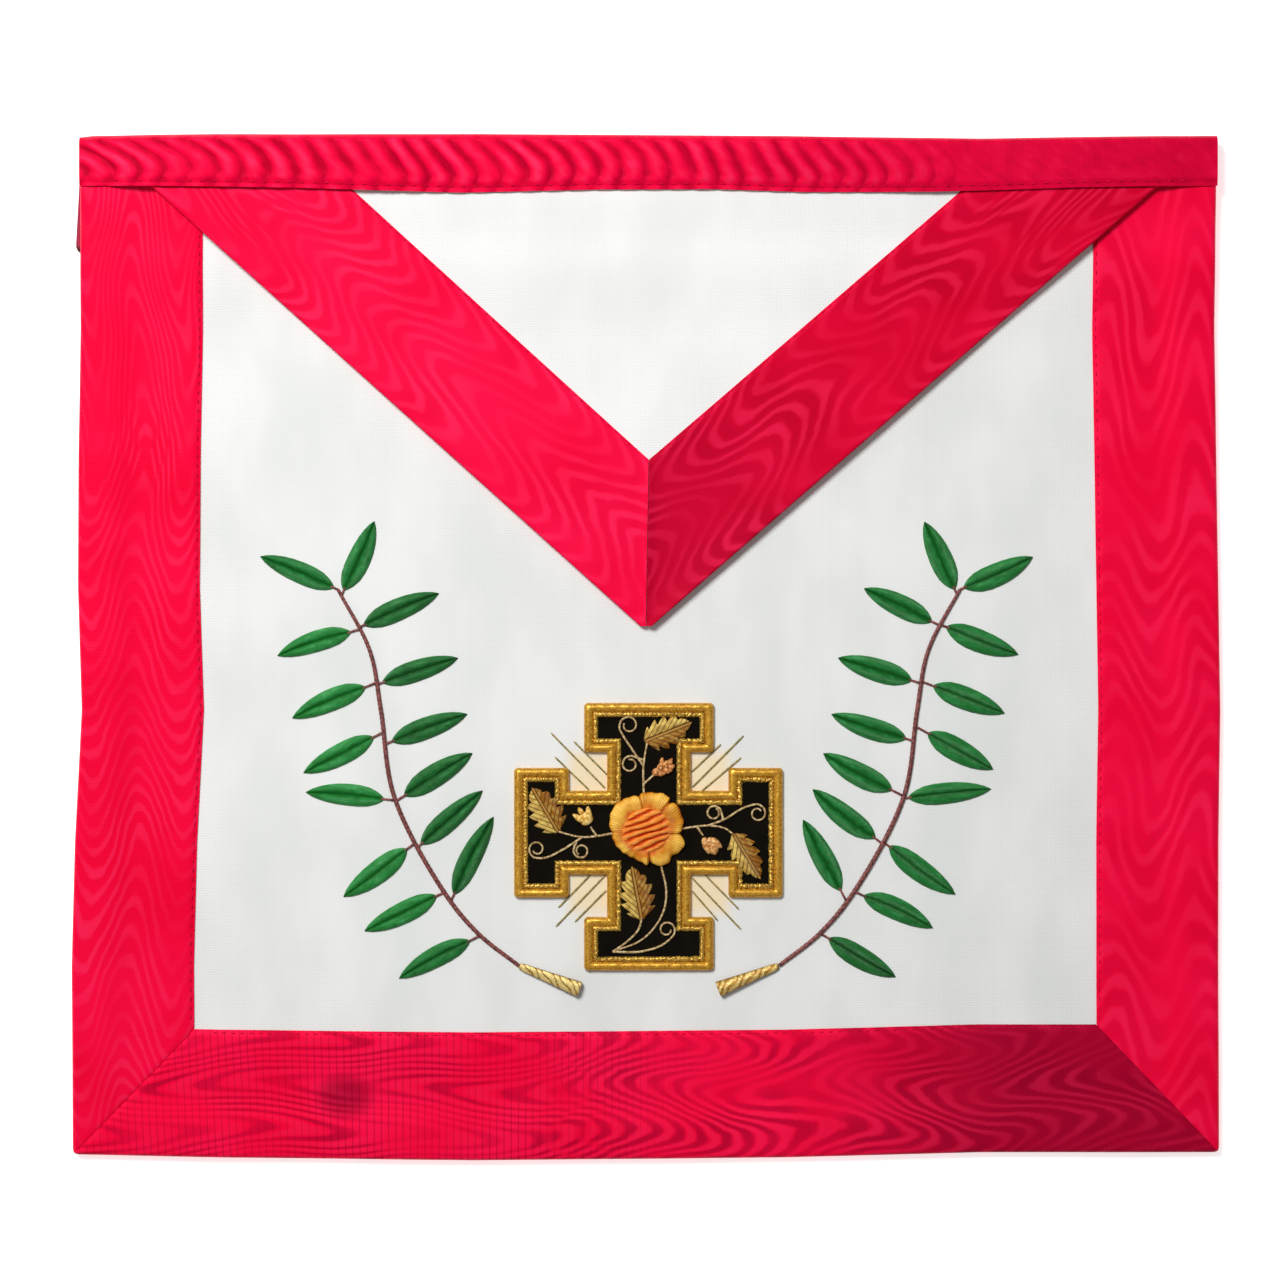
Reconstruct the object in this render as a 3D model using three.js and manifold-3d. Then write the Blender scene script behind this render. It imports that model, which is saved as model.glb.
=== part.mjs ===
// A masonic apron lying flat with its face up: a white panel edged with red watered ribbon,
// a waistband, a pointed flap, and an emblem of a cross with a rose between two branches.
// Millimetres, +X to the apron's right as seen from the front, +Y to its top, +Z out of its face.
// The origin is under the middle of the whole apron, on the surface that it lies on.
import * as THREE from "three";
import { mergeVertices } from "three/addons/utils/BufferGeometryUtils.js";
import Module from "manifold-3d";

// Overall size and the widths of the ribbons.
const WIDTH = 400;
const HEIGHT = 357.2;
const SIDE_RIBBON = 42.5;
const BOTTOM_RIBBON = 44.5;
const WAIST_RIBBON = 19.2;
const WAIST_TURN = 18;
const RIBBON_TURN = 9;
const CORNER_RADIUS = 2;
const EDGE_SOFTNESS = 0.4;

// Thicknesses, and the clearance between one layer and the next.
const PANEL_WALL = 1.4;
const RIBBON_WALL = 1;
const WAIST_WALL = 1;
const FLAP_WALL = 1;
const STRAP_WALL = 1.2;
const GAP = 0.3;

// The strap behind the top edge, and how far in front of a thickness the cloth starts to rise.
const STRAP_WIDTH = 40;
const STRAP_DROP = 1.4;
const STRAP_SLANT = 2.1;
const STRAP_NOSE = 1.4;
const STRAP_RIGHT_END = 12;
const EDGE_SLOPE = 12;
const STRAP_SLOPE = 14;
const WAIST_SLOPE = 8;
const SLOPE_MARGIN = 1;

// The flap: its corners lie on the waistband's lower edge, and its tip stays clear of the cross.
const FLAP_LEFT = 171;
const FLAP_RIGHT = 177;
const FLAP_TIP_CLEARANCE = 26.7;
const FLAP_PANEL_LEFT = 102.3;
const FLAP_PANEL_RIGHT = 110.3;
const FLAP_PANEL_SHARE = 0.6184;
const FLAP_UNDER_WAIST = 4;
const FLAP_TIP_WIDTH = 4;
const FLAP_LIFT_LEFT = 0.6;
const FLAP_LIFT_RIGHT = 2;
const FLAP_FREE_FROM = 0.05;
const FLAP_FREE_FULL = 0.6;
const FLAP_CORNER_CLEARANCE = 0.5;

// The puckers of the waistband.
const PUCKER_PITCH = 8.7;
const PUCKER_COUNT = 32;
const PUCKER_START = 9;
const PUCKER_HEIGHT = 0.9;
const PUCKER_SLANT = 0.35;
const PUCKER_VARIETY = 0.5;
const PUCKER_BEAT = 2.4;

// One pucker along the waistband: shares of its pitch and of its height.
const PUCKER_FORM = [
  { at: 0, up: 0 },
  { at: 0.34, up: 1 },
  { at: 0.68, up: 0.8 },
];

// The emblem: the cross, its rose and the raised work on it. The cross's middle and the feet of
// the branches keep their distances from the bottom ribbon.
const EMBLEM_X = 1;
const CROSS_ABOVE_RIBBON = 69.6;
const CROSS_SPAN = 93.6;
const CROSS_CAP = 45.2;
const CROSS_ARM = 29.2;
const CROSS_BAND = 4.7;
const FRAME_HEIGHT = 2.6;
const GROUND_HEIGHT = 1.2;
const ROSE_RADIUS = 13.1;
const ROSE_HEIGHT = 2.4;
const ROSE_DISH = 1.1;
const DISH_SLOPE = 0.1;
const HEART_LENGTH = 17.3;
const HEART_WIDTH = 16.3;
const HEART_HEIGHT = 2.8;
const HEART_RIDGES = 7;
const HEART_ANGLE = 20;
const HEART_FULLNESS = 0.95;
const HEART_RIM = 0.25;
const HEART_VALLEY = 0.72;
const VINE_THICKNESS = 1;
const CURL_SWEEP = 300;
const CROSS_LEAF_HEIGHT = 1.4;
const BUD_HEIGHT = 1.8;
const BUD_LENGTH = 7.5;
const BUD_WIDTH = 5.4;
const BUD_TAPER = 0.2;

// The two branches: each starts at a handle under the cross and rises beside it.
const BRANCH_FOOT_X = 45.3;
const BRANCH_ABOVE_RIBBON = 23.3;
const BRANCH_REACH = 63;
const BRANCH_RISE = 131;
const STEM_THICKNESS = 1.5;
const PETIOLE_THICKNESS = 1;
const BRANCH_LEAF_LENGTH = 27.4;
const BRANCH_LEAF_WIDTH = 7.8;
const BRANCH_LEAF_HEIGHT = 1.3;
const HANDLE_LENGTH = 22.6;
const HANDLE_ANGLE = 21;
const HANDLE_THIN = 2;
const HANDLE_THICK = 5.2;
const HANDLE_FLATNESS = 0.6;
const HANDLE_SIDES = 8;

// A handle from the stem to its free end: a share of its length, and from thin to thick.
const HANDLE_FORM = [
  { at: 0, thick: 0 },
  { at: 0.35, thick: 0.35 },
  { at: 0.9, thick: 0.9 },
  { at: 1, thick: 0.7 },
];

// How far the handmade outline stands in from its box. "at" is a share of the height from the
// bottom, or of the width from the left; the insets are shares of the ribbon's width.
const SIDE_WAVER = [
  { at: 0, left: 0.009, right: 0.009 },
  { at: 0.19, left: 0, right: 0.016 },
  { at: 0.31, left: 0.026, right: 0.016 },
  { at: 0.44, left: 0.082, right: 0 },
  { at: 0.56, left: 0.049, right: 0.016 },
  { at: 0.69, left: 0.056, right: 0.033 },
  { at: 0.81, left: 0.073, right: 0.049 },
  { at: 1, left: 0.08, right: 0.042 },
];
const END_WAVER = [
  { at: 0, bottom: 0.047, top: 0.05 },
  { at: 0.13, bottom: 0.022, top: 0.009 },
  { at: 0.35, bottom: 0, top: 0 },
  { at: 0.62, bottom: 0.022, top: 0.016 },
  { at: 0.79, bottom: 0.063, top: 0.038 },
  { at: 1, bottom: 0.063, top: 0.016 },
];

// The cross's four arms: reach and cap depth as shares of half the cross's span.
const CROSS_ARMS = [
  { heading: 0, reach: 0.996, cap: 0.405 },
  { heading: 90, reach: 0.966, cap: 0.37 },
  { heading: 180, reach: 1.004, cap: 0.41 },
  { heading: 270, reach: 1.026, cap: 0.4 },
];

// The frame's section: in from its outer edge as a share of the band, up as a share of its height.
const FRAME_SECTION = [
  { in: 0, up: 0 },
  { in: 0, up: 0.45 },
  { in: 0.16, up: 0.85 },
  { in: 0.45, up: 1 },
  { in: 0.8, up: 0.86 },
  { in: 1, up: 0.55 },
  { in: 1, up: 0 },
];

// The rose's petals: the heading of each petal's first edge, and its reach as a share of the radius.
const PETALS = [
  { from: -15, reach: 1.03 },
  { from: 50, reach: 1 },
  { from: 110, reach: 1 },
  { from: 205, reach: 0.93 },
  { from: 275, reach: 1.04 },
];
const PETAL_NOTCH = 0.13;

// The rose from its rim to its dish: radius and height as shares.
const ROSE_SECTION = [
  { out: 1, up: 0 },
  { out: 1, up: 0.3 },
  { out: 0.93, up: 0.85 },
  { out: 0.82, up: 1 },
];

// A bud from its foot up: radius and height as shares.
const BUD_SECTION = [
  { out: 1, up: 0 },
  { out: 0.92, up: 0.5 },
  { out: 0.5, up: 1 },
];

// What grows on the cross's ground, in hundredths of the cross's span from its middle.
// Each strand runs through its points and then once round its curl, when it has one.
const VINES = [
  {
    name: "top",
    heading: 94,
    leaf: { x: -0.3, y: 35.2, tipX: 15.2, tipY: 41.6, width: 9 },
    bud: { x: 5.0, y: 24.2, heading: 35 },
    strands: [
      { points: [[-2, 24.7], [-0.6, 34]] },
      { points: [[-2.1, 25], [-6.3, 31.1], [-10.6, 38]], curl: { x: -7.4, y: 40, end: 1.9, turn: -1 } },
      { points: [[-2, 27], [-5, 28.1]], curl: { x: -7, y: 25.4, end: 1.8, turn: 1 } },
      { points: [[-1.8, 18.3], [0.8, 20.6]] },
    ],
  },
  {
    name: "left",
    heading: 186,
    leaf: { x: -34.3, y: 1.6, tipX: -42.5, tipY: 15.8, width: 9 },
    bud: { x: -24.6, y: 6, heading: 135 },
    strands: [
      { points: [[-24.8, -1.6], [-33.5, 0.4]] },
      {
        points: [[-24.8, -1.6], [-31.9, -6.2], [-38.3, -9.2], [-42.4, -9.2]],
        curl: { x: -41.6, y: -6, end: 1.6, turn: -1 },
      },
      { points: [[-27, -3.4], [-28, -6.6]], curl: { x: -25.1, y: -6.7, end: 1.7, turn: 1 } },
      { points: [[-19.5, -1.1], [-21.7, 2.2]] },
    ],
  },
  {
    name: "right",
    heading: 2,
    leaf: { x: 32.3, y: -1.6, tipX: 41.9, tipY: -16.2, width: 8 },
    bud: { x: 23, y: -5, heading: -55 },
    strands: [
      { points: [[22.2, 2.7], [28.4, 1.6], [31.2, -0.4]] },
      {
        points: [[22.2, 2.7], [28.6, 5.3], [35, 9.2], [40.2, 10.6]],
        curl: { x: 40.4, y: 7.2, end: 1.6, turn: -1 },
      },
      { points: [[27.6, 4.9], [26.9, 7.8]], curl: { x: 24.1, y: 7.4, end: 1.8, turn: 1 } },
      { points: [[17.9, 2.1], [20.2, -1]] },
    ],
  },
  {
    name: "bottom",
    heading: -66,
    leaf: { x: -3.2, y: -31, tipX: -6, tipY: -14.2, width: 11 },
    strands: [
      { points: [[6.5, -22.2], [3.7, -32.2], [-2.8, -39.4], [-11, -43]] },
      { points: [[-3.3, -32], [-4.4, -35.8], [-7.6, -40], [-11, -43]] },
      {
        points: [[-11, -43], [-1.3, -43], [5.4, -41], [8.6, -38.4]],
        curl: { x: 6.4, y: -36.2, end: 1.8, turn: 1 },
      },
    ],
  },
];

// A leaf from its base to its tip: shares of its length, half width and height.
const LEAF_FORM = [
  { at: 0, wide: 0.14, high: 0.4 },
  { at: 0.14, wide: 0.7, high: 0.8 },
  { at: 0.36, wide: 1, high: 1 },
  { at: 0.62, wide: 0.88, high: 1 },
  { at: 0.84, wide: 0.48, high: 0.8 },
  { at: 1, wide: 0.08, high: 0.4 },
];
const TOOTHED_LEAF_FORM = [
  { at: 0, wide: 0.16, high: 0.4 },
  { at: 0.12, wide: 0.85, high: 0.8 },
  { at: 0.26, wide: 0.7, high: 1 },
  { at: 0.38, wide: 1, high: 1 },
  { at: 0.52, wide: 0.72, high: 1 },
  { at: 0.64, wide: 0.9, high: 0.95 },
  { at: 0.8, wide: 0.45, high: 0.85 },
  { at: 1, wide: 0.08, high: 0.4 },
];

// The line of a branch: shares of its reach and of its rise.
const BRANCH_LINE = [
  [0, 0],
  [0.225, 0.0855],
  [0.413, 0.195],
  [0.69, 0.45],
  [0.763, 0.678],
  [0.825, 0.838],
  [1, 1],
];

// The leaves of each branch. "along" is a share of the stem, "heading" is in degrees from
// straight outwards, and "petiole" and "length" are shares of a leaf's usual length.
const BRANCH_LEAVES = {
  left: [
    { along: 0.999, heading: 23, petiole: 0.055, length: 1.02 },
    { along: 0.984, heading: 114, petiole: 0.075, length: 0.96 },
    { along: 0.9, heading: 157, petiole: 0.06, length: 1.04 },
    { along: 0.895, heading: -18, petiole: 0.124, length: 0.98 },
    { along: 0.759, heading: 162, petiole: 0.07, length: 1.01 },
    { along: 0.765, heading: -23, petiole: 0.157, length: 1.01 },
    { along: 0.619, heading: 160, petiole: 0.095, length: 1.02 },
    { along: 0.649, heading: -27, petiole: 0.142, length: 1 },
    { along: 0.484, heading: 148, petiole: 0.128, length: 1.02 },
    { along: 0.487, heading: 5, petiole: 0.142, length: 1 },
    { along: 0.366, heading: 139, petiole: 0.06, length: 1.04 },
    { along: 0.377, heading: -37, petiole: 0.124, length: 1.01 },
    { along: 0.219, heading: 117, petiole: 0.095, length: 1.11 },
    { along: 0.245, heading: -26, petiole: 0.106, length: 1.02 },
    { along: 0.114, heading: -28, petiole: 0.146, length: 1.02 },
  ],
  right: [
    { along: 0.985, heading: 114, petiole: 0.075, length: 0.94 },
    { along: 1, heading: 24, petiole: 0.055, length: 0.96 },
    { along: 0.904, heading: 154, petiole: 0.109, length: 0.96 },
    { along: 0.906, heading: -21, petiole: 0.084, length: 0.98 },
    { along: 0.762, heading: 163, petiole: 0.12, length: 0.98 },
    { along: 0.768, heading: -21, petiole: 0.164, length: 0.97 },
    { along: 0.627, heading: 162, petiole: 0.095, length: 1 },
    { along: 0.662, heading: -29, petiole: 0.186, length: 0.95 },
    { along: 0.497, heading: 152, petiole: 0.168, length: 0.99 },
    { along: 0.492, heading: 6, petiole: 0.062, length: 1.06 },
    { along: 0.376, heading: 142, petiole: 0.117, length: 1.01 },
    { along: 0.38, heading: -36, petiole: 0.088, length: 1.04 },
    { along: 0.217, heading: 118, petiole: 0.164, length: 1.02 },
    { along: 0.247, heading: -25, petiole: 0.131, length: 0.97 },
    { along: 0.122, heading: -30, petiole: 0.131, length: 0.98 },
  ],
};

// Finishes.
const finish = (color, roughness, metalness) => ({ color, roughness, metalness });
const RED_RIBBON = finish("#ee1a4c", 0.45, 0);
const WHITE_CLOTH = finish("#f1f0ec", 0.6, 0);
const STRAP_TAPE = finish("#b3183f", 0.7, 0);
const BLACK_VELVET = finish("#120f0c", 0.9, 0);
const GOLD_WIRE = finish("#dba63a", 0.35, 0.7);
const YELLOW_SILK = finish("#e9a83c", 0.5, 0);
const ORANGE_SILK = finish("#e2622a", 0.5, 0);
const PALE_SILK = finish("#cfa760", 0.5, 0);
const PINK_SILK = finish("#cf8a62", 0.5, 0);
const VINE_THREAD = finish("#b49a72", 0.6, 0);
const GREEN_SILK = finish("#2f8d4e", 0.45, 0);
const BROWN_THREAD = finish("#5a2320", 0.7, 0);

const TOP = HEIGHT / 2;
const BOTTOM = -HEIGHT / 2;
const WAIST_EDGE = TOP - WAIST_RIBBON;
const CROSS_Y = BOTTOM + BOTTOM_RIBBON + CROSS_ABOVE_RIBBON;
const BRANCH_FOOT_Y = BOTTOM + BOTTOM_RIBBON + BRANCH_ABOVE_RIBBON;
const CROSS_TOP = CROSS_Y + (CROSS_SPAN / 2) * CROSS_ARMS[1].reach;
const FLAP_TIP = CROSS_TOP + FLAP_TIP_CLEARANCE;
const FLAP_DROP = WAIST_EDGE - FLAP_TIP;
const FLAP_PANEL_DROP = FLAP_DROP * FLAP_PANEL_SHARE;
const STRAP_TOP = TOP - STRAP_DROP;
const STRAP_BOTTOM = STRAP_TOP - STRAP_WIDTH;
const WAIST_RISE = WAIST_WALL + GAP;
const STRAP_RISE = STRAP_WALL + GAP;
const WRAP = RIBBON_WALL + GAP;

const wasm = await Module();
wasm.setup();

const apron = new THREE.Group();

// Adds one named piece with its own material.
function add(name, geometry, look) {
  const mesh = new THREE.Mesh(geometry, new THREE.MeshStandardMaterial(look));
  mesh.name = name;
  apron.add(mesh);
}

const radians = (degrees) => (degrees * Math.PI) / 180;
const point = (x, y, z) => new THREE.Vector3(x, y, z);
const spoke = (length, angle) => new THREE.Vector2(length * Math.cos(angle), length * Math.sin(angle));
const mix = (a, b, share) => a + (b - a) * share;

// Straight from 0 at "start" to 1 at "end", and level outside them.
function ramp(value, start, end) {
  return THREE.MathUtils.clamp((value - start) / (end - start), 0, 1);
}

// Reads one column of a table by straight lines between its rows.
function lookUp(table, column, at) {
  const next = table.findIndex((row) => row.at >= at);
  if (next <= 0) return table[next === 0 ? 0 : table.length - 1][column];
  const a = table[next - 1];
  const b = table[next];
  return mix(a[column], b[column], (at - a.at) / (b.at - a.at));
}

// The apron's outer edges.
const leftEdge = (y) => -WIDTH / 2 + SIDE_RIBBON * lookUp(SIDE_WAVER, "left", (y - BOTTOM) / HEIGHT);
const rightEdge = (y) => WIDTH / 2 - SIDE_RIBBON * lookUp(SIDE_WAVER, "right", (y - BOTTOM) / HEIGHT);
const bottomEdge = (x) => BOTTOM + BOTTOM_RIBBON * lookUp(END_WAVER, "bottom", x / WIDTH + 0.5);
const topEdge = (x) => TOP - BOTTOM_RIBBON * lookUp(END_WAVER, "top", x / WIDTH + 0.5);

// Heights across the panel at which the cloth bends over the strap and then over the
// waistband's turned edge, from the bottom up.
const STRAP_START = STRAP_BOTTOM - SLOPE_MARGIN;
const WAIST_START = WAIST_EDGE - 2 * SLOPE_MARGIN;
const BEND_LINES = [STRAP_START - STRAP_SLOPE, STRAP_START, WAIST_START - WAIST_SLOPE, WAIST_START];

// How far the strap and the waistband's turned edge lift what lies on them, at height y.
const bandRise = (y) =>
  STRAP_RISE * ramp(y, BEND_LINES[0], BEND_LINES[1]) + WAIST_RISE * ramp(y, BEND_LINES[2], BEND_LINES[3]);

// How far the turned ribbon lifts the panel, at a distance in from the edge.
const TURN_LINES = [RIBBON_TURN + SLOPE_MARGIN, RIBBON_TURN + SLOPE_MARGIN + EDGE_SLOPE];
const turnRise = (inward) => WRAP * (1 - ramp(inward, ...TURN_LINES));

// The underside of the panel.
function panelUnder(x, y) {
  const inward = Math.min(x - leftEdge(y), rightEdge(y) - x, y - bottomEdge(x));
  return bandRise(y) + turnRise(inward);
}

// A solid through closed rings of points with equal counts. Its ends are closed with the
// triangles "cap", in the rings' own order, or it closes on itself when there are none.
function loft(rings, cap) {
  const count = rings[0].length;
  const spots = rings.flat();
  const faces = [];
  const last = cap ? rings.length - 1 : rings.length;
  for (let i = 0; i < last; i++) {
    const near = i * count;
    const far = ((i + 1) % rings.length) * count;
    for (let j = 0; j < count; j++) {
      const k = (j + 1) % count;
      const falling = spots[near + j].z + spots[far + k].z <= spots[near + k].z + spots[far + j].z;
      if (falling) faces.push([near + j, near + k, far + k], [near + j, far + k, far + j]);
      else faces.push([near + j, near + k, far + j], [near + k, far + k, far + j]);
    }
  }
  if (cap) {
    const end = (rings.length - 1) * count;
    for (const face of cap) faces.push([...face].reverse(), face.map((index) => index + end));
  }
  return closedGeometry(spots, faces);
}

// The triangles that fill a flat outline, turned the way that it runs.
function filling(outline) {
  const turn = Math.sign(THREE.ShapeUtils.area(outline));
  return THREE.ShapeUtils.triangulateShape(outline, []).map(([a, b, c]) => {
    const way = Math.sign(THREE.ShapeUtils.area([outline[a], outline[b], outline[c]]));
    return way === turn ? [a, b, c] : [a, c, b];
  });
}

// Turns the faces outwards and makes the geometry.
function closedGeometry(spots, faces) {
  let volume = 0;
  for (const [a, b, c] of faces) volume += spots[a].dot(point(0, 0, 0).crossVectors(spots[b], spots[c]));
  const outward = volume > 0 ? faces : faces.map(([a, b, c]) => [a, c, b]);
  const indexed = new THREE.BufferGeometry();
  indexed.setAttribute("position", new THREE.Float32BufferAttribute(spots.flatMap((p) => p.toArray()), 3));
  indexed.setIndex(outward.flat());
  const geometry = indexed.toNonIndexed();
  geometry.computeVertexNormals();
  return geometry;
}

// A sheet with a top and an underside, given row by row from one end to the other.
function sheet(rows) {
  const rings = rows.map((row) => [...row.map((p) => p.top), ...row.map((p) => p.under).reverse()]);
  const count = rows[0].length;
  const cap = [];
  for (let i = 0; i < count - 1; i++) {
    const below = 2 * count - 1 - i;
    cap.push([i, i + 1, below - 1], [i, below - 1, below]);
  }
  return loft(rings, cap);
}

const THREAD_SIDES = 5;
const PETIOLE_SIDES = 4;
const STEM_STEPS = 26;
const CURL_STEPS = 12;

// Joins solids into one.
function join(geometries) {
  const solids = geometries.map((geometry) => {
    const bare = new THREE.BufferGeometry();
    bare.setAttribute("position", geometry.getAttribute("position"));
    const merged = mergeVertices(bare, 1e-4);
    const vertProperties = merged.attributes.position.array;
    return new wasm.Manifold(new wasm.Mesh({ numProp: 3, vertProperties, triVerts: merged.index.array }));
  });
  const whole = solids.reduce((sum, solid) => sum.add(solid)).getMesh();
  const geometry = new THREE.BufferGeometry();
  geometry.setAttribute("position", new THREE.BufferAttribute(whole.vertProperties, 3));
  geometry.setIndex(new THREE.BufferAttribute(whole.triVerts, 1));
  const flat = geometry.toNonIndexed();
  flat.computeVertexNormals();
  return flat;
}

// A thread along a smooth line, with a round section of so many sides.
function thread(points, thickness, steps, sides) {
  const turn = (2 * Math.PI) / sides;
  const corners = Array.from({ length: sides }, (_, i) => spoke(thickness / 2, turn * (i + 0.5)));
  const extrudePath = new THREE.CatmullRomCurve3(points, false, "centripetal");
  return new THREE.ExtrudeGeometry(new THREE.Shape(corners), { steps, extrudePath, bevelEnabled: false });
}

// The level and upright lines that all layers share, so that they bend at the same places.
const LEVEL_LINES = [...SIDE_WAVER.map((row) => BOTTOM + HEIGHT * row.at), ...BEND_LINES]
  .filter((y) => y > BOTTOM + BOTTOM_RIBBON + 2 * CORNER_RADIUS && y <= BEND_LINES[3])
  .sort((a, b) => a - b);
const UPRIGHT_LINES = END_WAVER.map((row) => WIDTH * (row.at - 0.5)).filter(
  (x) => Math.abs(x) < WIDTH / 2 - SIDE_RIBBON - 2 * CORNER_RADIUS,
);

// The white panel, out to the inside of the folded ribbons.
function makeBody() {
  const inwards = [WRAP, ...TURN_LINES, SIDE_RIBBON];
  const columns = [
    ...inwards.map((inward) => (y) => leftEdge(y) + inward),
    ...UPRIGHT_LINES.map((x) => () => x),
    ...inwards.map((inward) => (y) => rightEdge(y) - inward).reverse(),
  ];
  const lines = [
    ...[WRAP, ...TURN_LINES].map((inward) => (x) => bottomEdge(x) + inward),
    ...LEVEL_LINES.map((y) => () => y),
    (x) => topEdge(x) - WAIST_RISE,
  ];
  const rows = lines.map((line) =>
    columns.map((column) => {
      const y = line(column(line(0)));
      const x = column(y);
      const under = panelUnder(x, y);
      return { top: point(x, y, under + PANEL_WALL), under: point(x, y, under) };
    }),
  );
  add("apron_body", sheet(rows), WHITE_CLOTH);
}

// The section of a folded ribbon: distance in from the edge, and which surface it lies on.
function foldedSection(width) {
  const front = (y, inward) => bandRise(y) + turnRise(inward) + PANEL_WALL + GAP;
  const over = (inward) => ({ inward, height: (y) => front(y, inward) + RIBBON_WALL });
  const inside = (inward) => ({ inward, height: (y) => front(y, inward) });
  const turned = (inward, up) => ({ inward, height: (y) => bandRise(y) + up });
  const soften = RIBBON_WALL * EDGE_SOFTNESS;
  return [
    { inward: 0, height: (y) => front(y, 0) + RIBBON_WALL - soften },
    over(soften),
    ...TURN_LINES.map(over),
    over(width),
    inside(width),
    ...TURN_LINES.map(inside).reverse(),
    inside(RIBBON_WALL),
    turned(RIBBON_WALL, RIBBON_WALL),
    turned(RIBBON_TURN, RIBBON_WALL),
    turned(RIBBON_TURN, 0),
    turned(soften, 0),
    turned(0, soften),
  ];
}

// The triangles that close the ends of a folded ribbon.
function sectionCap(section) {
  return filling(section.map((part) => new THREE.Vector2(part.inward, part.height(BOTTOM))));
}

// How far a rounded corner takes the outermost line in, at a distance from the corner.
function cornerInset(distance) {
  if (distance >= CORNER_RADIUS) return 0;
  return CORNER_RADIUS - Math.sqrt(CORNER_RADIUS ** 2 - (CORNER_RADIUS - distance) ** 2);
}

// Where the mitre meets the rounded corner, and the steps from there to the corner's end.
const CORNER_START = CORNER_RADIUS * (1 - Math.SQRT1_2);
const CORNER_STEPS = [0, 0.4, 1].map((share) => share * (CORNER_RADIUS - CORNER_START));

// A side's ribbon, from the mitre at its foot to the waistband. "side" is -1 on the left.
function makeSideBorder(side, name) {
  const section = foldedSection(SIDE_RIBBON);
  const edge = side < 0 ? leftEdge : rightEdge;
  const place = (part, y) => {
    const rounding = part.inward === 0 ? cornerInset(y - bottomEdge(edge(y))) : 0;
    const x = edge(y) - side * (part.inward + rounding);
    return point(x, y, part.height(y));
  };
  const mitre = (inward) => {
    const nominal = BOTTOM + inward;
    const foot = bottomEdge(edge(nominal) - side * inward);
    return foot + Math.max(inward * (BOTTOM_RIBBON / SIDE_RIBBON), CORNER_START) + GAP;
  };
  const rings = CORNER_STEPS.map((step) => section.map((part) => place(part, mitre(part.inward) + step)));
  for (const y of LEVEL_LINES) rings.push(section.map((part) => place(part, y)));
  const end = TOP - 2 * WAIST_RISE - BOTTOM_RIBBON * END_WAVER[0].top;
  rings.push(section.map((part) => place(part, end)));
  add(name, loft(rings, sectionCap(section)), RED_RIBBON);
}

// The bottom ribbon, mitred at both ends.
function makeBottomBorder() {
  const section = foldedSection(BOTTOM_RIBBON);
  const place = (part, x) => {
    const fromCorner = Math.min(x - leftEdge(BOTTOM), rightEdge(BOTTOM) - x);
    const rounding = part.inward === 0 ? cornerInset(fromCorner) : 0;
    const y = bottomEdge(x) + part.inward + rounding;
    return point(x, y, part.height(BOTTOM));
  };
  const mitre = (inward) => Math.max(inward * (SIDE_RIBBON / BOTTOM_RIBBON), CORNER_START) + GAP;
  const startX = (inward) => leftEdge(BOTTOM + inward) + mitre(inward);
  const endX = (inward) => rightEdge(BOTTOM + inward) - mitre(inward);
  const rings = CORNER_STEPS.map((step) => section.map((part) => place(part, startX(part.inward) + step)));
  for (const x of UPRIGHT_LINES) rings.push(section.map((part) => place(part, x)));
  for (const step of [...CORNER_STEPS].reverse()) {
    rings.push(section.map((part) => place(part, endX(part.inward) - step)));
  }
  add("border_bottom", loft(rings, sectionCap(section)), RED_RIBBON);
}

// The flap's outlines: outer edge, seam between panel and ribbon, and the line of the tip's mitre.
const flapShare = (y) => (WAIST_EDGE - y) / FLAP_DROP;
const flapLeft = (y) => mix(-FLAP_LEFT, -FLAP_TIP_WIDTH / 2, flapShare(y));
const flapRight = (y) => mix(FLAP_RIGHT, FLAP_TIP_WIDTH / 2, flapShare(y));
const SEAM_APEX = WAIST_EDGE - FLAP_PANEL_DROP;
const mitreLine = (y) => EMBLEM_X * (1 - ramp(y, SEAM_APEX, FLAP_TIP));
const seamShare = (y) => Math.min((WAIST_EDGE - y) / FLAP_PANEL_DROP, 1);
const seamLeft = (y) => mix(-FLAP_PANEL_LEFT, mitreLine(y) - GAP / 2, seamShare(y));
const seamRight = (y) => mix(FLAP_PANEL_RIGHT, mitreLine(y) + GAP / 2, seamShare(y));

// Where the flap starts to rise over the side ribbons, and where it has risen.
const FLAP_BENDS = [WIDTH / 2 - SIDE_RIBBON - RIBBON_TURN, WIDTH / 2 - SIDE_RIBBON - 2 * RIBBON_TURN];

// The underside of the flap: it lies on the panel and the side ribbons, and its edges lift.
function flapUnder(x, y) {
  const onBorder = ramp(Math.abs(x), FLAP_BENDS[1], FLAP_BENDS[0]);
  const free = ramp(flapShare(y), FLAP_FREE_FROM, FLAP_FREE_FULL);
  const left = 1 - ramp(x, flapLeft(y), seamLeft(y));
  const right = ramp(x, seamRight(y), flapRight(y));
  const lift = free * (FLAP_LIFT_LEFT * left + FLAP_LIFT_RIGHT * right);
  return bandRise(y) + PANEL_WALL + GAP + onBorder * (WRAP + FLAP_CORNER_CLEARANCE) + lift;
}

// The rows of the flap, from the waistband down to the tip.
function flapRows() {
  const rows = [WAIST_EDGE + FLAP_UNDER_WAIST, ...[...BEND_LINES].reverse()];
  const spans = 6;
  for (let i = 1; i < spans; i++) rows.push(mix(BEND_LINES[0], SEAM_APEX, i / spans));
  rows.push(SEAM_APEX + 2 * GAP);
  for (let i = 1; i <= spans; i++) rows.push(mix(SEAM_APEX, FLAP_TIP, i / spans));
  return rows;
}

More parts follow.
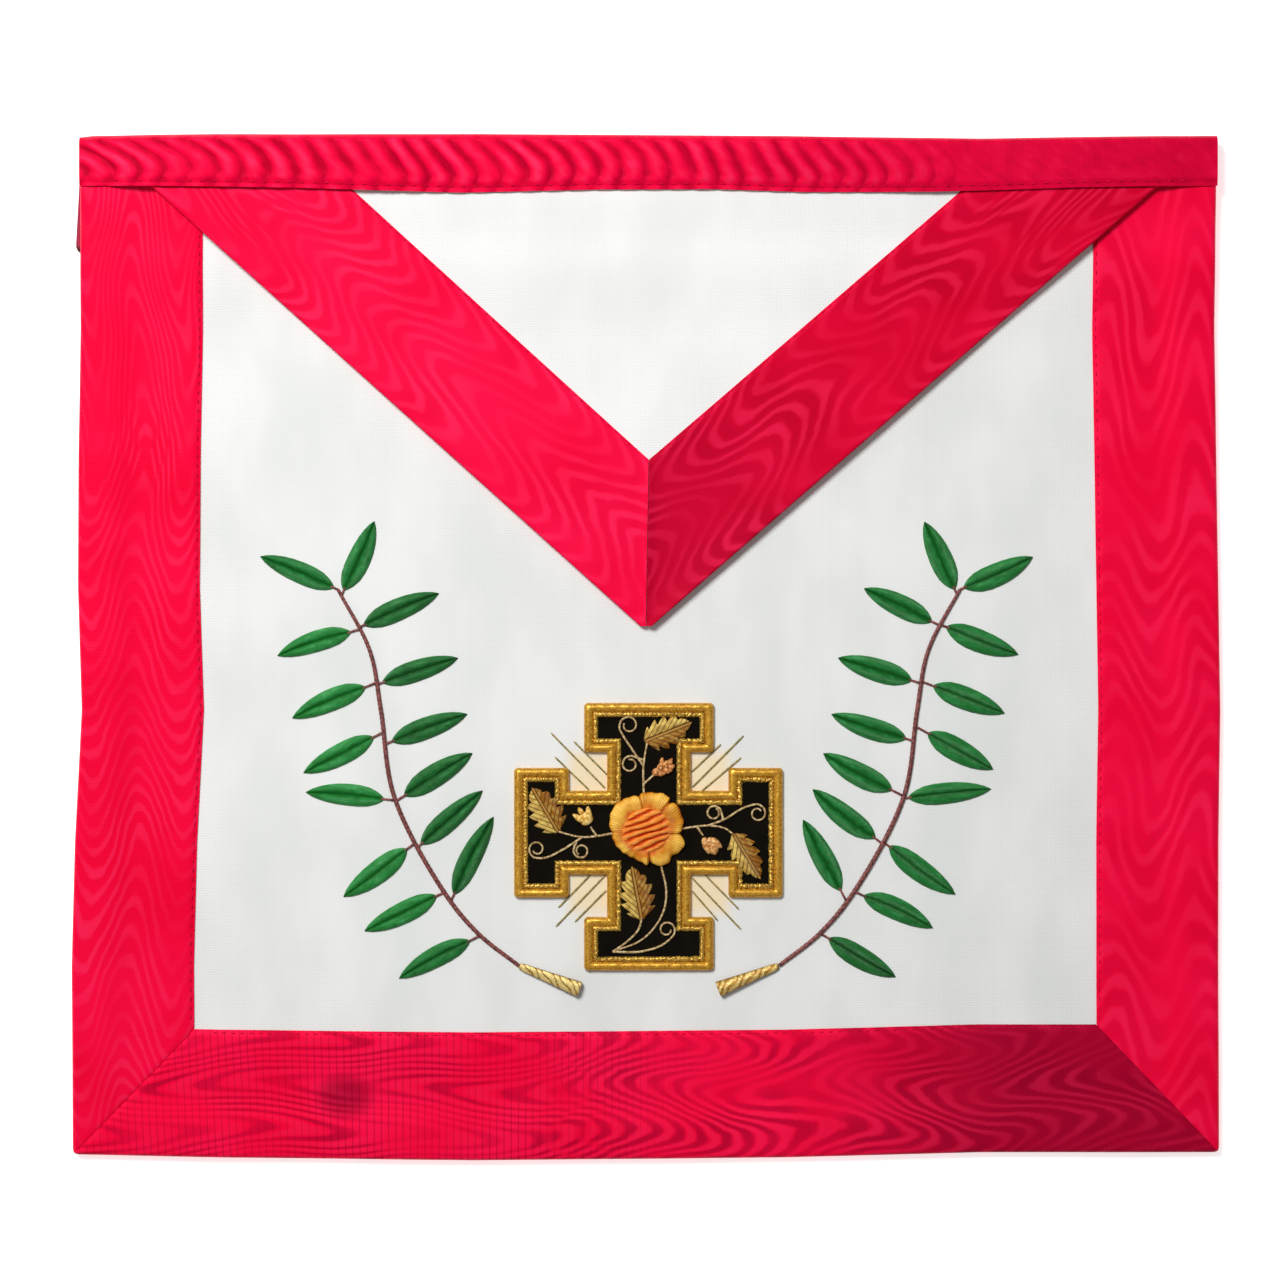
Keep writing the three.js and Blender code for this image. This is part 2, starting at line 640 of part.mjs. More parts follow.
// The flap's white panel, which runs out under its ribbons.
function makeFlapPanel() {
  const rows = flapRows().map((y, index, all) => {
    const tipInset = index === all.length - 1 ? WRAP : 0;
    const level = y + tipInset;
    const seamGap = 2 * GAP;
    const left = Math.min(seamLeft(level), mitreLine(level) - seamGap);
    const right = Math.max(seamRight(level), mitreLine(level) + seamGap);
    const outerLeft = Math.min(flapLeft(level) + WRAP, left - GAP);
    const outerRight = Math.max(flapRight(level) - WRAP, right + GAP);
    const middle = (left + right) / 2;
    const leftBends = FLAP_BENDS.map((bend, i) => Math.max(-bend, mix(outerLeft, left, (i + 1) / 3)));
    const rightBends = FLAP_BENDS.map((bend, i) => Math.min(bend, mix(outerRight, right, (i + 1) / 3)));
    const columns = [outerLeft, ...leftBends, left, middle, right, ...rightBends.reverse(), outerRight];
    return columns.map((x) => {
      const under = flapUnder(x, level);
      return { top: point(x, level, under + FLAP_WALL), under: point(x, level, under) };
    });
  });
  add("flap_panel", sheet(rows), WHITE_CLOTH);
}

// One of the flap's ribbons: it lies on the panel and turns down over its edge.
function makeFlapRibbon(side, name) {
  const outer = side < 0 ? flapLeft : flapRight;
  const seam = side < 0 ? seamLeft : seamRight;
  const lip = { over: FLAP_WALL + GAP + RIBBON_WALL, under: FLAP_WALL + GAP };
  const rings = flapRows().map((y) => {
    const edge = outer(y);
    const inner = seam(y);
    const bends = FLAP_BENDS.map((bend, i) => {
      const even = mix(edge, inner, (i + 1) / 3);
      return side < 0 ? Math.max(-bend, even) : Math.min(bend, even);
    });
    const wall = mix(edge, inner, Math.min(RIBBON_WALL / Math.abs(inner - edge), 1 / 3));
    const over = [edge, ...bends, inner].map((x) => point(x, y, flapUnder(x, y) + lip.over));
    const under = [wall, ...bends, inner].map((x) => point(x, y, flapUnder(x, y) + lip.under)).reverse();
    const turned = [wall, edge].map((x) => point(x, y, flapUnder(x, y)));
    return [...over, ...under, ...turned];
  });
  const across = [0, 1, 2, 3];
  const cap = [
    ...across.map((i) => new THREE.Vector2(i, 3)),
    ...[3, 2, 1, 0.5].map((i) => new THREE.Vector2(i, 2)),
    new THREE.Vector2(0.5, 0),
    new THREE.Vector2(0, 0),
  ];
  add(name, loft(rings, filling(cap)), RED_RIBBON);
}

// What the waistband's front lies on, at x: the panel, and the ribbons and flap where they pass.
// It rises and settles one pucker's pitch before and after each of them.
function underWaist(x) {
  const slope = PUCKER_PITCH / 2;
  const inside = (from, to) => ramp(x, from - slope, from) * (1 - ramp(x, to, to + slope));
  const inward = Math.min(x - leftEdge(WAIST_EDGE), rightEdge(WAIST_EDGE) - x);
  const overhang = (FLAP_UNDER_WAIST * (FLAP_LEFT + FLAP_RIGHT)) / FLAP_DROP;
  const seamMargin = PUCKER_PITCH + slope;
  const borderReach = SIDE_RIBBON + 2 * RIBBON_TURN;
  const onFlap = inside(-FLAP_LEFT - overhang - PUCKER_PITCH, FLAP_RIGHT + overhang + PUCKER_PITCH);
  const onSeam = 1 - inside(seamMargin - FLAP_PANEL_LEFT, FLAP_PANEL_RIGHT - seamMargin);
  const onBorder = 1 - ramp(inward, borderReach, borderReach + slope);
  const onTurn = turnRise(inward - PUCKER_PITCH) * (1 - onFlap);
  const flapLayers = FLAP_WALL + GAP + onSeam * WRAP + onBorder * FLAP_CORNER_CLEARANCE;
  return bandRise(WAIST_EDGE) + PANEL_WALL + GAP + onFlap * flapLayers + onBorder * WRAP + onTurn;
}

// The stations of the waistband: three to each pucker, and evenly spaced beyond them.
function waistStations() {
  const from = leftEdge(TOP);
  const to = rightEdge(TOP);
  const first = from + PUCKER_START;
  const puckered = first + PUCKER_COUNT * PUCKER_PITCH;
  const plain = Math.max(Math.round((to - puckered) / PUCKER_PITCH), 1);
  const stations = [from, mix(from, first, 0.5)].map((x) => ({ x, fold: 0 }));
  for (let i = 0; i < PUCKER_COUNT; i++) {
    const size = 1 - PUCKER_VARIETY * (0.5 + 0.5 * Math.sin(PUCKER_BEAT * i));
    const start = first + i * PUCKER_PITCH;
    for (const { at, up } of PUCKER_FORM) stations.push({ x: start + at * PUCKER_PITCH, fold: size * up });
  }
  for (let i = 0; i <= plain; i++) stations.push({ x: mix(puckered, to, i / plain), fold: 0 });
  const slantAt = (x) => Math.min(ramp(x, from, first), ramp(to - x, 0, PUCKER_PITCH));
  return stations.map(({ x, fold }) => ({ x, fold, slant: slantAt(x) }));
}

// The waistband, folded over the top edge.
function makeWaistband() {
  const back = STRAP_RISE;
  const rings = waistStations().map(({ x, fold, slant }) => {
    const y = topEdge(x);
    const under = underWaist(x);
    const front = under + WAIST_WALL;
    const rise = fold * PUCKER_HEIGHT;
    const at = (drop, z) => point(x + slant * PUCKER_SLANT * (drop - WAIST_RIBBON / 2), y - drop, z);
    return [
      at(WAIST_RIBBON, under),
      at(WAIST_RIBBON, front + 0.5 * rise),
      at(WAIST_RIBBON / 2, front + rise),
      at(2 * WAIST_WALL, front + 0.5 * rise),
      point(x, y, front - WAIST_WALL),
      point(x, y, back),
      point(x, y - WAIST_TURN, back),
      point(x, y - WAIST_TURN, back + WAIST_WALL),
      point(x, y - WAIST_WALL, back + WAIST_WALL),
      point(x, y - WAIST_WALL, under),
    ];
  });
  const cap = filling(rings[0].map((p) => new THREE.Vector2(p.y, p.z)));
  add("waistband", loft(rings, cap), RED_RIBBON);
}

// The doubled tape behind the top edge. Its fold shows past the left edge.
function makeStrap() {
  const left = leftEdge(STRAP_BOTTOM) - STRAP_NOSE;
  const right = rightEdge(STRAP_TOP) - STRAP_RIGHT_END;
  const round = STRAP_WIDTH / 8;
  const outline = new THREE.Shape();
  outline.moveTo(right, STRAP_BOTTOM);
  outline.lineTo(right, STRAP_TOP);
  outline.lineTo(left + STRAP_SLANT + round / 2, STRAP_TOP);
  outline.quadraticCurveTo(left + STRAP_SLANT, STRAP_TOP, left + STRAP_SLANT, STRAP_TOP - round / 2);
  outline.lineTo(left, STRAP_BOTTOM + round);
  outline.quadraticCurveTo(left, STRAP_BOTTOM, left + round, STRAP_BOTTOM);
  outline.closePath();
  const options = { depth: STRAP_WALL, bevelEnabled: false, curveSegments: 4 };
  add("belt_strap", new THREE.ExtrudeGeometry(outline, options), STRAP_TAPE);
}

const EMBLEM_Z = PANEL_WALL + GAP;
const GROUND_TOP = EMBLEM_Z + GROUND_HEIGHT;
const WORK_Z = GROUND_TOP + GAP;

// The corners of the cross, anticlockwise, set in from its outer edge.
function crossOutline(inset) {
  const half = CROSS_SPAN / 2;
  const corners = CROSS_ARMS.flatMap(({ heading, reach, cap }) => {
    const arm = CROSS_ARM / 2;
    const neck = half * (reach - cap);
    const local = [
      [arm, -arm],
      [neck, -arm],
      [neck, -CROSS_CAP / 2],
      [half * reach, -CROSS_CAP / 2],
      [half * reach, CROSS_CAP / 2],
      [neck, CROSS_CAP / 2],
      [neck, arm],
    ];
    const hub = new THREE.Vector2();
    const turn = radians(heading);
    return local.map(([along, across]) => new THREE.Vector2(along, across).rotateAround(hub, turn));
  });
  return corners.map((corner, index) => {
    const before = corners[(index + corners.length - 1) % corners.length];
    const after = corners[(index + 1) % corners.length];
    const normals = [[before, corner], [corner, after]].map(([a, b]) => {
      const way = b.clone().sub(a).normalize();
      return new THREE.Vector2(-way.y, way.x);
    });
    const moved = corner.clone().addScaledVector(normals[0].clone().add(normals[1]), inset);
    return moved.add(new THREE.Vector2(EMBLEM_X, CROSS_Y));
  });
}

function makeCross() {
  const ground = new THREE.Shape(crossOutline(CROSS_BAND + GAP));
  const depth = new THREE.ExtrudeGeometry(ground, { depth: GROUND_HEIGHT, bevelEnabled: false });
  add("cross_ground", depth.translate(0, 0, EMBLEM_Z), BLACK_VELVET);
  const outlines = FRAME_SECTION.map((row) => crossOutline(row.in * CROSS_BAND));
  const rings = outlines[0].map((_, corner) =>
    FRAME_SECTION.map((row, i) => {
      const { x, y } = outlines[i][corner];
      return point(x, y, EMBLEM_Z + row.up * FRAME_HEIGHT);
    }),
  );
  add("cross_frame", loft(rings), GOLD_WIRE);
}

const ROSE_X = EMBLEM_X - 0.01 * CROSS_SPAN;
const ROSE_Y = CROSS_Y + 0.01 * CROSS_SPAN;

// The rose's radius at a heading in degrees: round petals that meet in notches.
function roseRadius(heading) {
  const turned = (((heading - PETALS[0].from) % 360) + 360) % 360;
  const starts = PETALS.map((petal) => petal.from - PETALS[0].from);
  let index = starts.length - 1;
  while (starts[index] > turned) index--;
  const end = index + 1 < starts.length ? starts[index + 1] : 360;
  const share = (turned - starts[index]) / (end - starts[index]);
  const round = Math.sqrt(Math.sin(Math.PI * share));
  return ROSE_RADIUS * PETALS[index].reach * (1 - PETAL_NOTCH * (1 - round));
}

// A low solid over an outline: each section row shrinks the outline and lifts it.
function mound(outline, centre, base, height, section) {
  const rings = section.map((row) =>
    outline.map((p) => {
      const flat = centre.clone().lerp(p, row.out);
      return point(flat.x, flat.y, base + row.up * height);
    }),
  );
  return loft(rings, filling(outline));
}

function makeRose() {
  const centre = new THREE.Vector2(ROSE_X, ROSE_Y);
  const outline = [];
  const steps = 45;
  for (let i = 0; i < steps; i++) {
    const heading = PETALS[0].from + (360 * i) / steps;
    outline.push(spoke(roseRadius(heading), radians(heading)).add(centre));
  }
  const heartShare = (HEART_LENGTH / 2 + 2 * GAP) / (ROSE_RADIUS * (1 - PETAL_NOTCH));
  const dish = ROSE_DISH / ROSE_HEIGHT;
  const dishRows = [{ out: heartShare, up: dish + DISH_SLOPE }, { out: heartShare / 2, up: dish }];
  const section = [...ROSE_SECTION, ...dishRows];
  add("rose_petals", mound(outline, centre, WORK_Z, ROSE_HEIGHT, section), YELLOW_SILK);
  add("rose_heart", heart(centre), ORANGE_SILK);
}

// The rose's heart: ridges side by side over a low dome.
function heart(centre) {
  const base = WORK_Z + ROSE_DISH + DISH_SLOPE * ROSE_HEIGHT + GAP;
  const stations = 2 * HEART_RIDGES;
  const arch = [-1, -0.6, 0, 0.6, 1];
  const rings = [];
  for (let i = 0; i <= stations; i++) {
    const across = HEART_FULLNESS * mix(-1, 1, i / stations);
    const chord = Math.sqrt(1 - across ** 2);
    const ridge = i % 2 === 0 ? HEART_VALLEY : 1;
    const crest = arch.map((along) => {
      const dome = Math.sqrt(1 - (HEART_FULLNESS * along) ** 2);
      const height = HEART_HEIGHT * ridge * mix(HEART_RIM, 1, chord * dome);
      return point((along * chord * HEART_LENGTH) / 2, (across * HEART_WIDTH) / 2, height);
    });
    const feet = [crest[arch.length - 1], crest[0]].map((p) => point(p.x, p.y, 0));
    rings.push([...crest, ...feet]);
  }
  const cap = filling(rings[HEART_RIDGES].map((p) => new THREE.Vector2(p.x, p.z)));
  return loft(rings, cap).rotateZ(radians(HEART_ANGLE)).translate(centre.x, centre.y, base);
}

// A leaf lying on a surface at height z: two padded halves with a groove between them.
function leaf(base, tip, width, height, z, form) {
  const along = tip.clone().sub(base);
  const across = new THREE.Vector2(-along.y, along.x).normalize();
  const lobes = [
    { out: -1, up: 0 },
    { out: -0.55, up: 1 },
    { out: 0, up: 0.55 },
    { out: 0.55, up: 1 },
    { out: 1, up: 0 },
  ];
  const rings = form.map((row) =>
    lobes.map(({ out, up }) => {
      const flat = base.clone().addScaledVector(along, row.at);
      flat.addScaledVector(across, (out * row.wide * width) / 2);
      return point(flat.x, flat.y, z + up * row.high * height);
    }),
  );
  return loft(rings, filling(lobes.map(({ out, up }) => new THREE.Vector2(out, up))));
}

const crossUnit = CROSS_SPAN / 100;
const onCross = (x, y) => new THREE.Vector2(EMBLEM_X + x * crossUnit, CROSS_Y + y * crossUnit);

// The points of one strand, with the spiral that ends it.
function strandPoints({ points, curl }) {
  const line = points.map(([x, y]) => onCross(x, y));
  if (!curl) return line;
  const centre = onCross(curl.x, curl.y);
  const start = line[line.length - 1].clone().sub(centre);
  const curlPoints = CURL_STEPS / 2;
  for (let i = 1; i <= curlPoints; i++) {
    const share = i / curlPoints;
    const radius = mix(start.length(), curl.end * crossUnit, share);
    const angle = start.angle() + curl.turn * share * radians(CURL_SWEEP);
    line.push(spoke(radius, angle).add(centre));
  }
  return line;
}

// Where a stem leaves the rose.
function roseEdge(heading) {
  return spoke(roseRadius(heading) + 2 * GAP, radians(heading)).add(new THREE.Vector2(ROSE_X, ROSE_Y));
}

function makeVines() {
  const level = WORK_Z + VINE_THICKNESS / 2;
  for (const vine of VINES) {
    const threads = vine.strands.map((strand, index) => {
      const line = strandPoints(strand);
      if (index === 0) line.unshift(roseEdge(vine.heading));
      const steps = strand.curl ? CURL_STEPS : 2 * line.length;
      return thread(line.map((p) => point(p.x, p.y, level)), VINE_THICKNESS, steps, THREAD_SIDES);
    });
    add("vine_" + vine.name, join(threads), VINE_THREAD);
    const { x, y, tipX, tipY, width } = vine.leaf;
    const ends = [onCross(x, y), onCross(tipX, tipY)];
    const blade = leaf(...ends, width * crossUnit, CROSS_LEAF_HEIGHT, WORK_Z, TOOTHED_LEAF_FORM);
    add("cross_leaf_" + vine.name, blade, PALE_SILK);
    if (vine.bud) add("cross_bud_" + vine.name, bud(vine.bud), vine.name === "left" ? PALE_SILK : PINK_SILK);
  }
}

// A bud: an egg shape, wider at its foot.
function bud({ x, y, heading }) {
  const centre = onCross(x, y);
  const outline = [];
  const steps = 12;
  for (let i = 0; i < steps; i++) {
    const angle = (2 * Math.PI * i) / steps;
    const along = (BUD_LENGTH / 2) * Math.cos(angle);
    const across = (BUD_WIDTH / 2) * (1 - BUD_TAPER * Math.cos(angle)) * Math.sin(angle);
    const corner = new THREE.Vector2(along, across).rotateAround(new THREE.Vector2(), radians(heading));
    outline.push(corner.add(centre));
  }
  return mound(outline, centre, WORK_Z, BUD_HEIGHT, BUD_SECTION);
}

// A branch: its stem with the petioles, its leaves and its handle. "side" is -1 on the left.
function makeBranch(side, name) {
  const level = EMBLEM_Z + STEM_THICKNESS / 2;
  const line = BRANCH_LINE.map(([out, up]) =>
    point(EMBLEM_X + side * (BRANCH_FOOT_X + BRANCH_REACH * out), BRANCH_FOOT_Y + BRANCH_RISE * up, level),
  );
  const path = new THREE.CatmullRomCurve3(line, false, "centripetal");
  const parts = [thread(line, STEM_THICKNESS, STEM_STEPS, THREAD_SIDES)];
  BRANCH_LEAVES[name].forEach(({ along, heading, petiole, length }, index) => {
    const joint = path.getPointAt(along);
    const way = spoke(side, side * radians(heading));
    const base = new THREE.Vector2(joint.x, joint.y).addScaledVector(way, petiole * BRANCH_LEAF_LENGTH);
    const tip = base.clone().addScaledVector(way, length * BRANCH_LEAF_LENGTH);
    const number = String(index + 1).padStart(2, "0");
    add(
      "leaf_" + name + "_" + number,
      leaf(base, tip, BRANCH_LEAF_WIDTH, BRANCH_LEAF_HEIGHT, EMBLEM_Z, LEAF_FORM),
      GREEN_SILK,
    );
    const end = base.clone().addScaledVector(way, -GAP);
    parts.push(thread([joint, point(end.x, end.y, level)], PETIOLE_THICKNESS, 1, PETIOLE_SIDES));
  });
  add("stem_" + name, join(parts), BROWN_THREAD);
  makeHandle(side, name, line[0]);
}

// The gold handle at a stem's foot: a flattened cone lying on the panel.
function makeHandle(side, name, foot) {
  const way = spoke(-side, side * radians(HANDLE_ANGLE));
  const across = new THREE.Vector2(-way.y, way.x);
  const angles = Array.from({ length: HANDLE_SIDES }, (_, i) => (2 * Math.PI * i) / HANDLE_SIDES);
  const middleZ = EMBLEM_Z + (HANDLE_FLATNESS * HANDLE_THICK) / 2;
  const rings = HANDLE_FORM.map(({ at, thick }) => {
    const size = mix(HANDLE_THIN, HANDLE_THICK, thick);
    const middle = new THREE.Vector2(foot.x, foot.y).addScaledVector(way, GAP + at * HANDLE_LENGTH);
    return angles.map((angle) => {
      const flat = middle.clone().addScaledVector(across, (size / 2) * Math.cos(angle));
      return point(flat.x, flat.y, middleZ + (HANDLE_FLATNESS * size * Math.sin(angle)) / 2);
    });
  });
  const cap = angles.map((angle) => spoke(1, angle));
  add("handle_" + name, loft(rings, filling(cap)), GOLD_WIRE);
}

makeStrap();
makeBody();
makeSideBorder(-1, "border_left");
makeSideBorder(1, "border_right");
makeBottomBorder();
makeFlapPanel();
makeFlapRibbon(-1, "flap_ribbon_left");
makeFlapRibbon(1, "flap_ribbon_right");
makeWaistband();
makeCross();
makeRose();
makeVines();
makeBranch(-1, "left");
makeBranch(1, "right");

export default apron;
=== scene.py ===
"""The looks of a masonic apron that lies flat with its face up.

Lengths are millimetres here, in the part's own frame, until a mesh is made in metres.
"""

import bpy
import numpy as np
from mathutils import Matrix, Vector, noise


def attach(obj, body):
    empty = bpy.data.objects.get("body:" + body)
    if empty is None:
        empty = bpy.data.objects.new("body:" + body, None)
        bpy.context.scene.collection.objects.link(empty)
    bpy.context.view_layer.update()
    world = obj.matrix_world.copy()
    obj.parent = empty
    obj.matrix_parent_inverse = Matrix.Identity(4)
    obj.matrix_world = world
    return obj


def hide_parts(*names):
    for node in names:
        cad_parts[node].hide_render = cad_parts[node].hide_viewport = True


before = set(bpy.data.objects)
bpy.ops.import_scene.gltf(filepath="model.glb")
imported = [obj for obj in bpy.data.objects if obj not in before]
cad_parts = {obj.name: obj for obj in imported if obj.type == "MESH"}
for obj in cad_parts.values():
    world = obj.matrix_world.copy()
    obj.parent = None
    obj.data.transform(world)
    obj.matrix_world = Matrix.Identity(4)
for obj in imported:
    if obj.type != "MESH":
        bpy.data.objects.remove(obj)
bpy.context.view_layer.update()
MM = 0.001

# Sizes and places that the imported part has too. Two tops are hidden by the waistband.
BOTTOM, TOP, HALF_WIDTH = -178.6, 178.6, 200.0
SIDE_RIBBON, BOTTOM_RIBBON, WAIST_RIBBON = 42.5, 44.5, 19.2
RIBBON_TURN, WAIST_TURN = 9.0, 18.0
WAIST_EDGE, FLAP_TIP, SEAM_APEX = 159.4, 7.4, 65.4
BORDER_TOP, FLAP_TOP, STRAP_LOW, STRAP_HIGH = 173.8, 163.4, 137.2, 177.2
FLAP_LEFT, FLAP_RIGHT, PANEL_LEFT, PANEL_RIGHT = 171.0, 177.0, 102.3, 110.3
CROSS_X, CROSS_Y, CROSS_SPAN, CROSS_CAP, CROSS_ARM, CROSS_BAND = 1.0, -64.5, 93.6, 45.2, 29.2, 4.7
ROSE_X, ROSE_Y, ROSE_RADIUS = CROSS_X - 0.936, CROSS_Y + 0.936, 13.1

# How far the handmade outline stands in from its box, as a share of the ribbon's width.
SIDE_AT = [0, 0.19, 0.31, 0.44, 0.56, 0.69, 0.81, 1]
SIDE_LEFT = [0.009, 0, 0.026, 0.082, 0.049, 0.056, 0.073, 0.08]
SIDE_RIGHT = [0.009, 0.016, 0.016, 0, 0.016, 0.033, 0.049, 0.042]
END_AT = [0, 0.13, 0.35, 0.62, 0.79, 1]
END_BOTTOM = [0.047, 0.022, 0, 0.022, 0.063, 0.063]
TOP_AT = [0, 0.008, 0.02, 0.13, 0.35, 0.62, 0.79, 1]
END_TOP = [0.05, 0.03, 0.018, 0.006, 0, 0.016, 0.038, 0.016]


def left_edge(y):
    return -HALF_WIDTH + SIDE_RIBBON * np.interp((y - BOTTOM) / (TOP - BOTTOM), SIDE_AT, SIDE_LEFT)


def right_edge(y):
    return HALF_WIDTH - SIDE_RIBBON * np.interp((y - BOTTOM) / (TOP - BOTTOM), SIDE_AT, SIDE_RIGHT)


def bottom_edge(x):
    return BOTTOM + BOTTOM_RIBBON * np.interp(x / (2 * HALF_WIDTH) + 0.5, END_AT, END_BOTTOM)


def top_edge(x):
    return TOP - BOTTOM_RIBBON * np.interp(x / (2 * HALF_WIDTH) + 0.5, TOP_AT, END_TOP)


def ease(value, start, end):
    """Smoothly from 0 at start to 1 at end."""
    share = np.clip((value - start) / (end - start), 0, 1)
    return share * share * (3 - 2 * share)


# Heights of the layers. Each lies on the one below, and they bend over the same edges.
PANEL_WALL, RIBBON_LIFT, FLAP_LIFT, WAIST_LIFT, PUCKER, VELVET = 1.4, 1.25, 1.95, 0.9, 1.15, 1.2
# How wide an arch of the watered pattern and a strand of the rose's heart are, and where stitches run.
ARCH_WIDTH, STRAND, STITCH_INSET, WAIST_STITCH = 31.5, 2.3, 1.1, 17.3
# The ribbon's thickness, how deep its stitches sink, how far the panel's rim stands in from the
# outline, how many points the strap has along it, and where the petals start.
RIBBON_WALL, STITCH_SINK, PANEL_INSET, STRAP_POINTS, PETAL_ROOT = 0.6, 0.42, 1.3, 120, 5.2


def band_rise(y):
    """How far the strap and the waistband's turned edge lift the cloth."""
    return 1.5 * ease(y, 108, 136.8) + 1.3 * ease(y, 140, 159.5)


def ripple(x, y):
    """The soft unevenness of cloth that lies flat."""
    waves = 0.17 * np.sin(x / 13 + y / 31 + 0.6) + 0.14 * np.sin(y / 12 - x / 27 + 2.1)
    waves += 0.08 * np.sin(x / 8.5 + y / 9.5)
    return (0.39 + waves) * (1 - ease(y, 130, 156))


def cloth(x, y):
    """The face of the white panel."""
    inward = np.minimum(np.minimum(x - left_edge(y), right_edge(y) - x), y - bottom_edge(x))
    return band_rise(y) + 1.3 * (1 - ease(inward, 10, 22)) + ripple(x, y) + PANEL_WALL


def flap_share(y):
    return (WAIST_EDGE - y) / (WAIST_EDGE - FLAP_TIP)


def flap_edge(y, side):
    wide = FLAP_LEFT if side < 0 else FLAP_RIGHT
    return side * (wide + (2 - wide) * flap_share(y))


def mitre(y):
    """The line down the middle of the flap's tip."""
    return CROSS_X * (1 - np.clip((SEAM_APEX - y) / (SEAM_APEX - FLAP_TIP), 0, 1))


def flap_seam(y, side):
    wide = PANEL_LEFT if side < 0 else PANEL_RIGHT
    share = np.minimum((WAIST_EDGE - y) / (WAIST_EDGE - SEAM_APEX), 1)
    return side * wide * (1 - share) + (mitre(y) + side * 0.1) * share


def flap_under(x, y):
    """The underside of the flap, which lies on the panel and lifts a little at its free edges."""
    on_border = ease(np.abs(x), 118, 155)
    free = ease(flap_share(y), 0.05, 0.6)
    left = np.clip((flap_seam(y, -1) - x) / np.maximum(flap_seam(y, -1) - flap_edge(y, -1), 1), 0, 1)
    right = np.clip((x - flap_seam(y, 1)) / np.maximum(flap_edge(y, 1) - flap_seam(y, 1), 1), 0, 1)
    lift = free * (0.6 * left**1.5 + 2.0 * right**1.5)
    return band_rise(y) + ripple(x, y) + PANEL_WALL + 0.12 + 1.75 * on_border + lift


def run_length(line):
    """The length along a line up to each of its points."""
    return np.r_[0, np.cumsum(np.linalg.norm(np.diff(line, axis=0), axis=1))]


def full_turn(sides):
    return np.arange(sides) * 2 * np.pi / sides


def compass(degrees):
    return np.array([np.cos(np.radians(degrees)), np.sin(np.radians(degrees))])


def turned(along, across, degrees):
    """Flat places, turned anticlockwise about the origin."""
    cosine, sine = compass(degrees)
    return along * cosine - across * sine, along * sine + across * cosine


def spots_at(line, at):
    """The places at some lengths along a line."""
    length = run_length(line)
    return np.stack([np.interp(at, length, line[:, k]) for k in range(line.shape[1])], 1)


class Term:
    """A value in a node tree, which adds, multiplies and so on as a number does."""

    def __init__(self, graph, socket):
        self.graph, self.socket = graph, socket

    def op(self, operation, *others):
        made = self.graph.node("Math", (self, *others), operation=operation)
        return Term(self.graph, made.outputs[0])

    def __add__(self, other):
        return self.op("ADD", other)

    def __sub__(self, other):
        return self.op("SUBTRACT", other)

    def __mul__(self, other):
        return self.op("MULTIPLY", other)

    def __truediv__(self, other):
        return self.op("DIVIDE", other)

    def __pow__(self, other):
        return self.op("POWER", other)

    def wave(self, period):
        """A sine of this value, from -1 to 1."""
        return (self * (2 * np.pi / period)).op("SINE")

    def ease(self, start, end):
        """Smoothly from 0 at start to 1 at end."""
        ends = (end, start, 1, 0) if start > end else (start, end, 0, 1)
        made = self.graph.node("MapRange", (self, *ends), interpolation_type="SMOOTHSTEP")
        return Term(self.graph, made.outputs[0])


def colour(code):
    """A linear colour from its usual six digits."""
    channels = [int(code[i : i + 2], 16) / 255 for i in (1, 3, 5)]
    return (*[c / 12.92 if c < 0.04045 else ((c + 0.055) / 1.055) ** 2.4 for c in channels], 1)


class Graph:
    """A material, with short calls for the nodes that are used here."""

    def __init__(self, name, **surface):
        self.material = bpy.data.materials.new(name)
        self.material.use_nodes = True
        self.tree = self.material.node_tree
        self.shader = self.tree.nodes["Principled BSDF"]
        for key, value in surface.items():
            self.feed(self.shader.inputs[key.replace("_", " ")], value)

    def feed(self, socket, value):
        if isinstance(value, Term):
            self.tree.links.new(value.socket, socket)
        else:
            socket.default_value = colour(value) if isinstance(value, str) else value

    def node(self, kind, values=(), **settings):
        """A new node with its settings and its inputs, which go by place or by name."""
        made = self.tree.nodes.new("ShaderNode" + kind)
        for key, value in settings.items():
            setattr(made, key, value)
        for key, value in values.items() if isinstance(values, dict) else enumerate(values):
            self.feed(made.inputs[key], value)
        return made

    def parts(self, socket):
        made = self.node("SeparateXYZ", [Term(self, socket)])
        return [Term(self, output) for output in made.outputs]

    def uv(self, layer="cut"):
        """The two coordinates of a layer. Those of "cut" run along and across a piece, in millimetres."""
        return self.parts(self.node("UVMap", uv_map=layer).outputs[0])[:2]

    def place(self):
        """The place in the part's frame, in millimetres."""
        return [part / MM for part in self.parts(self.node("TexCoord").outputs["Object"])]

    def noise(self, x, y, z=0.0, detail=2.0):
        """Soft noise with a grain of 1, from about 0.2 to 0.8."""
        spot = Term(self, self.node("CombineXYZ", (x, y, z)).outputs[0])
        made = self.node("TexNoise", {"Vector": spot, "Scale": 1, "Detail": detail})
        return Term(self, made.outputs[0])

    def mix(self, share, a, b):
        """A colour between a and b."""
        return Term(self, self.node("Mix", {0: share, 6: a, 7: b}, data_type="RGBA").outputs[2])

    def finish(self, tint, bumps, depth, rough=None):
        """Links the colour, the relief of so many millimetres and the roughness."""
        made = self.node("Bump", {"Strength": 1, "Distance": depth * MM, "Height": bumps})
        self.feed(self.shader.inputs["Base Color"], tint)
        self.feed(self.shader.inputs["Normal"], Term(self, made.outputs[0]))
        if rough is not None:
            self.feed(self.shader.inputs["Roughness"], rough)
        return self.material


RED_SILK = {"Roughness": 0.42, "Specular_IOR_Level": 0.18, "Specular_Tint": "#ff4a6c"}


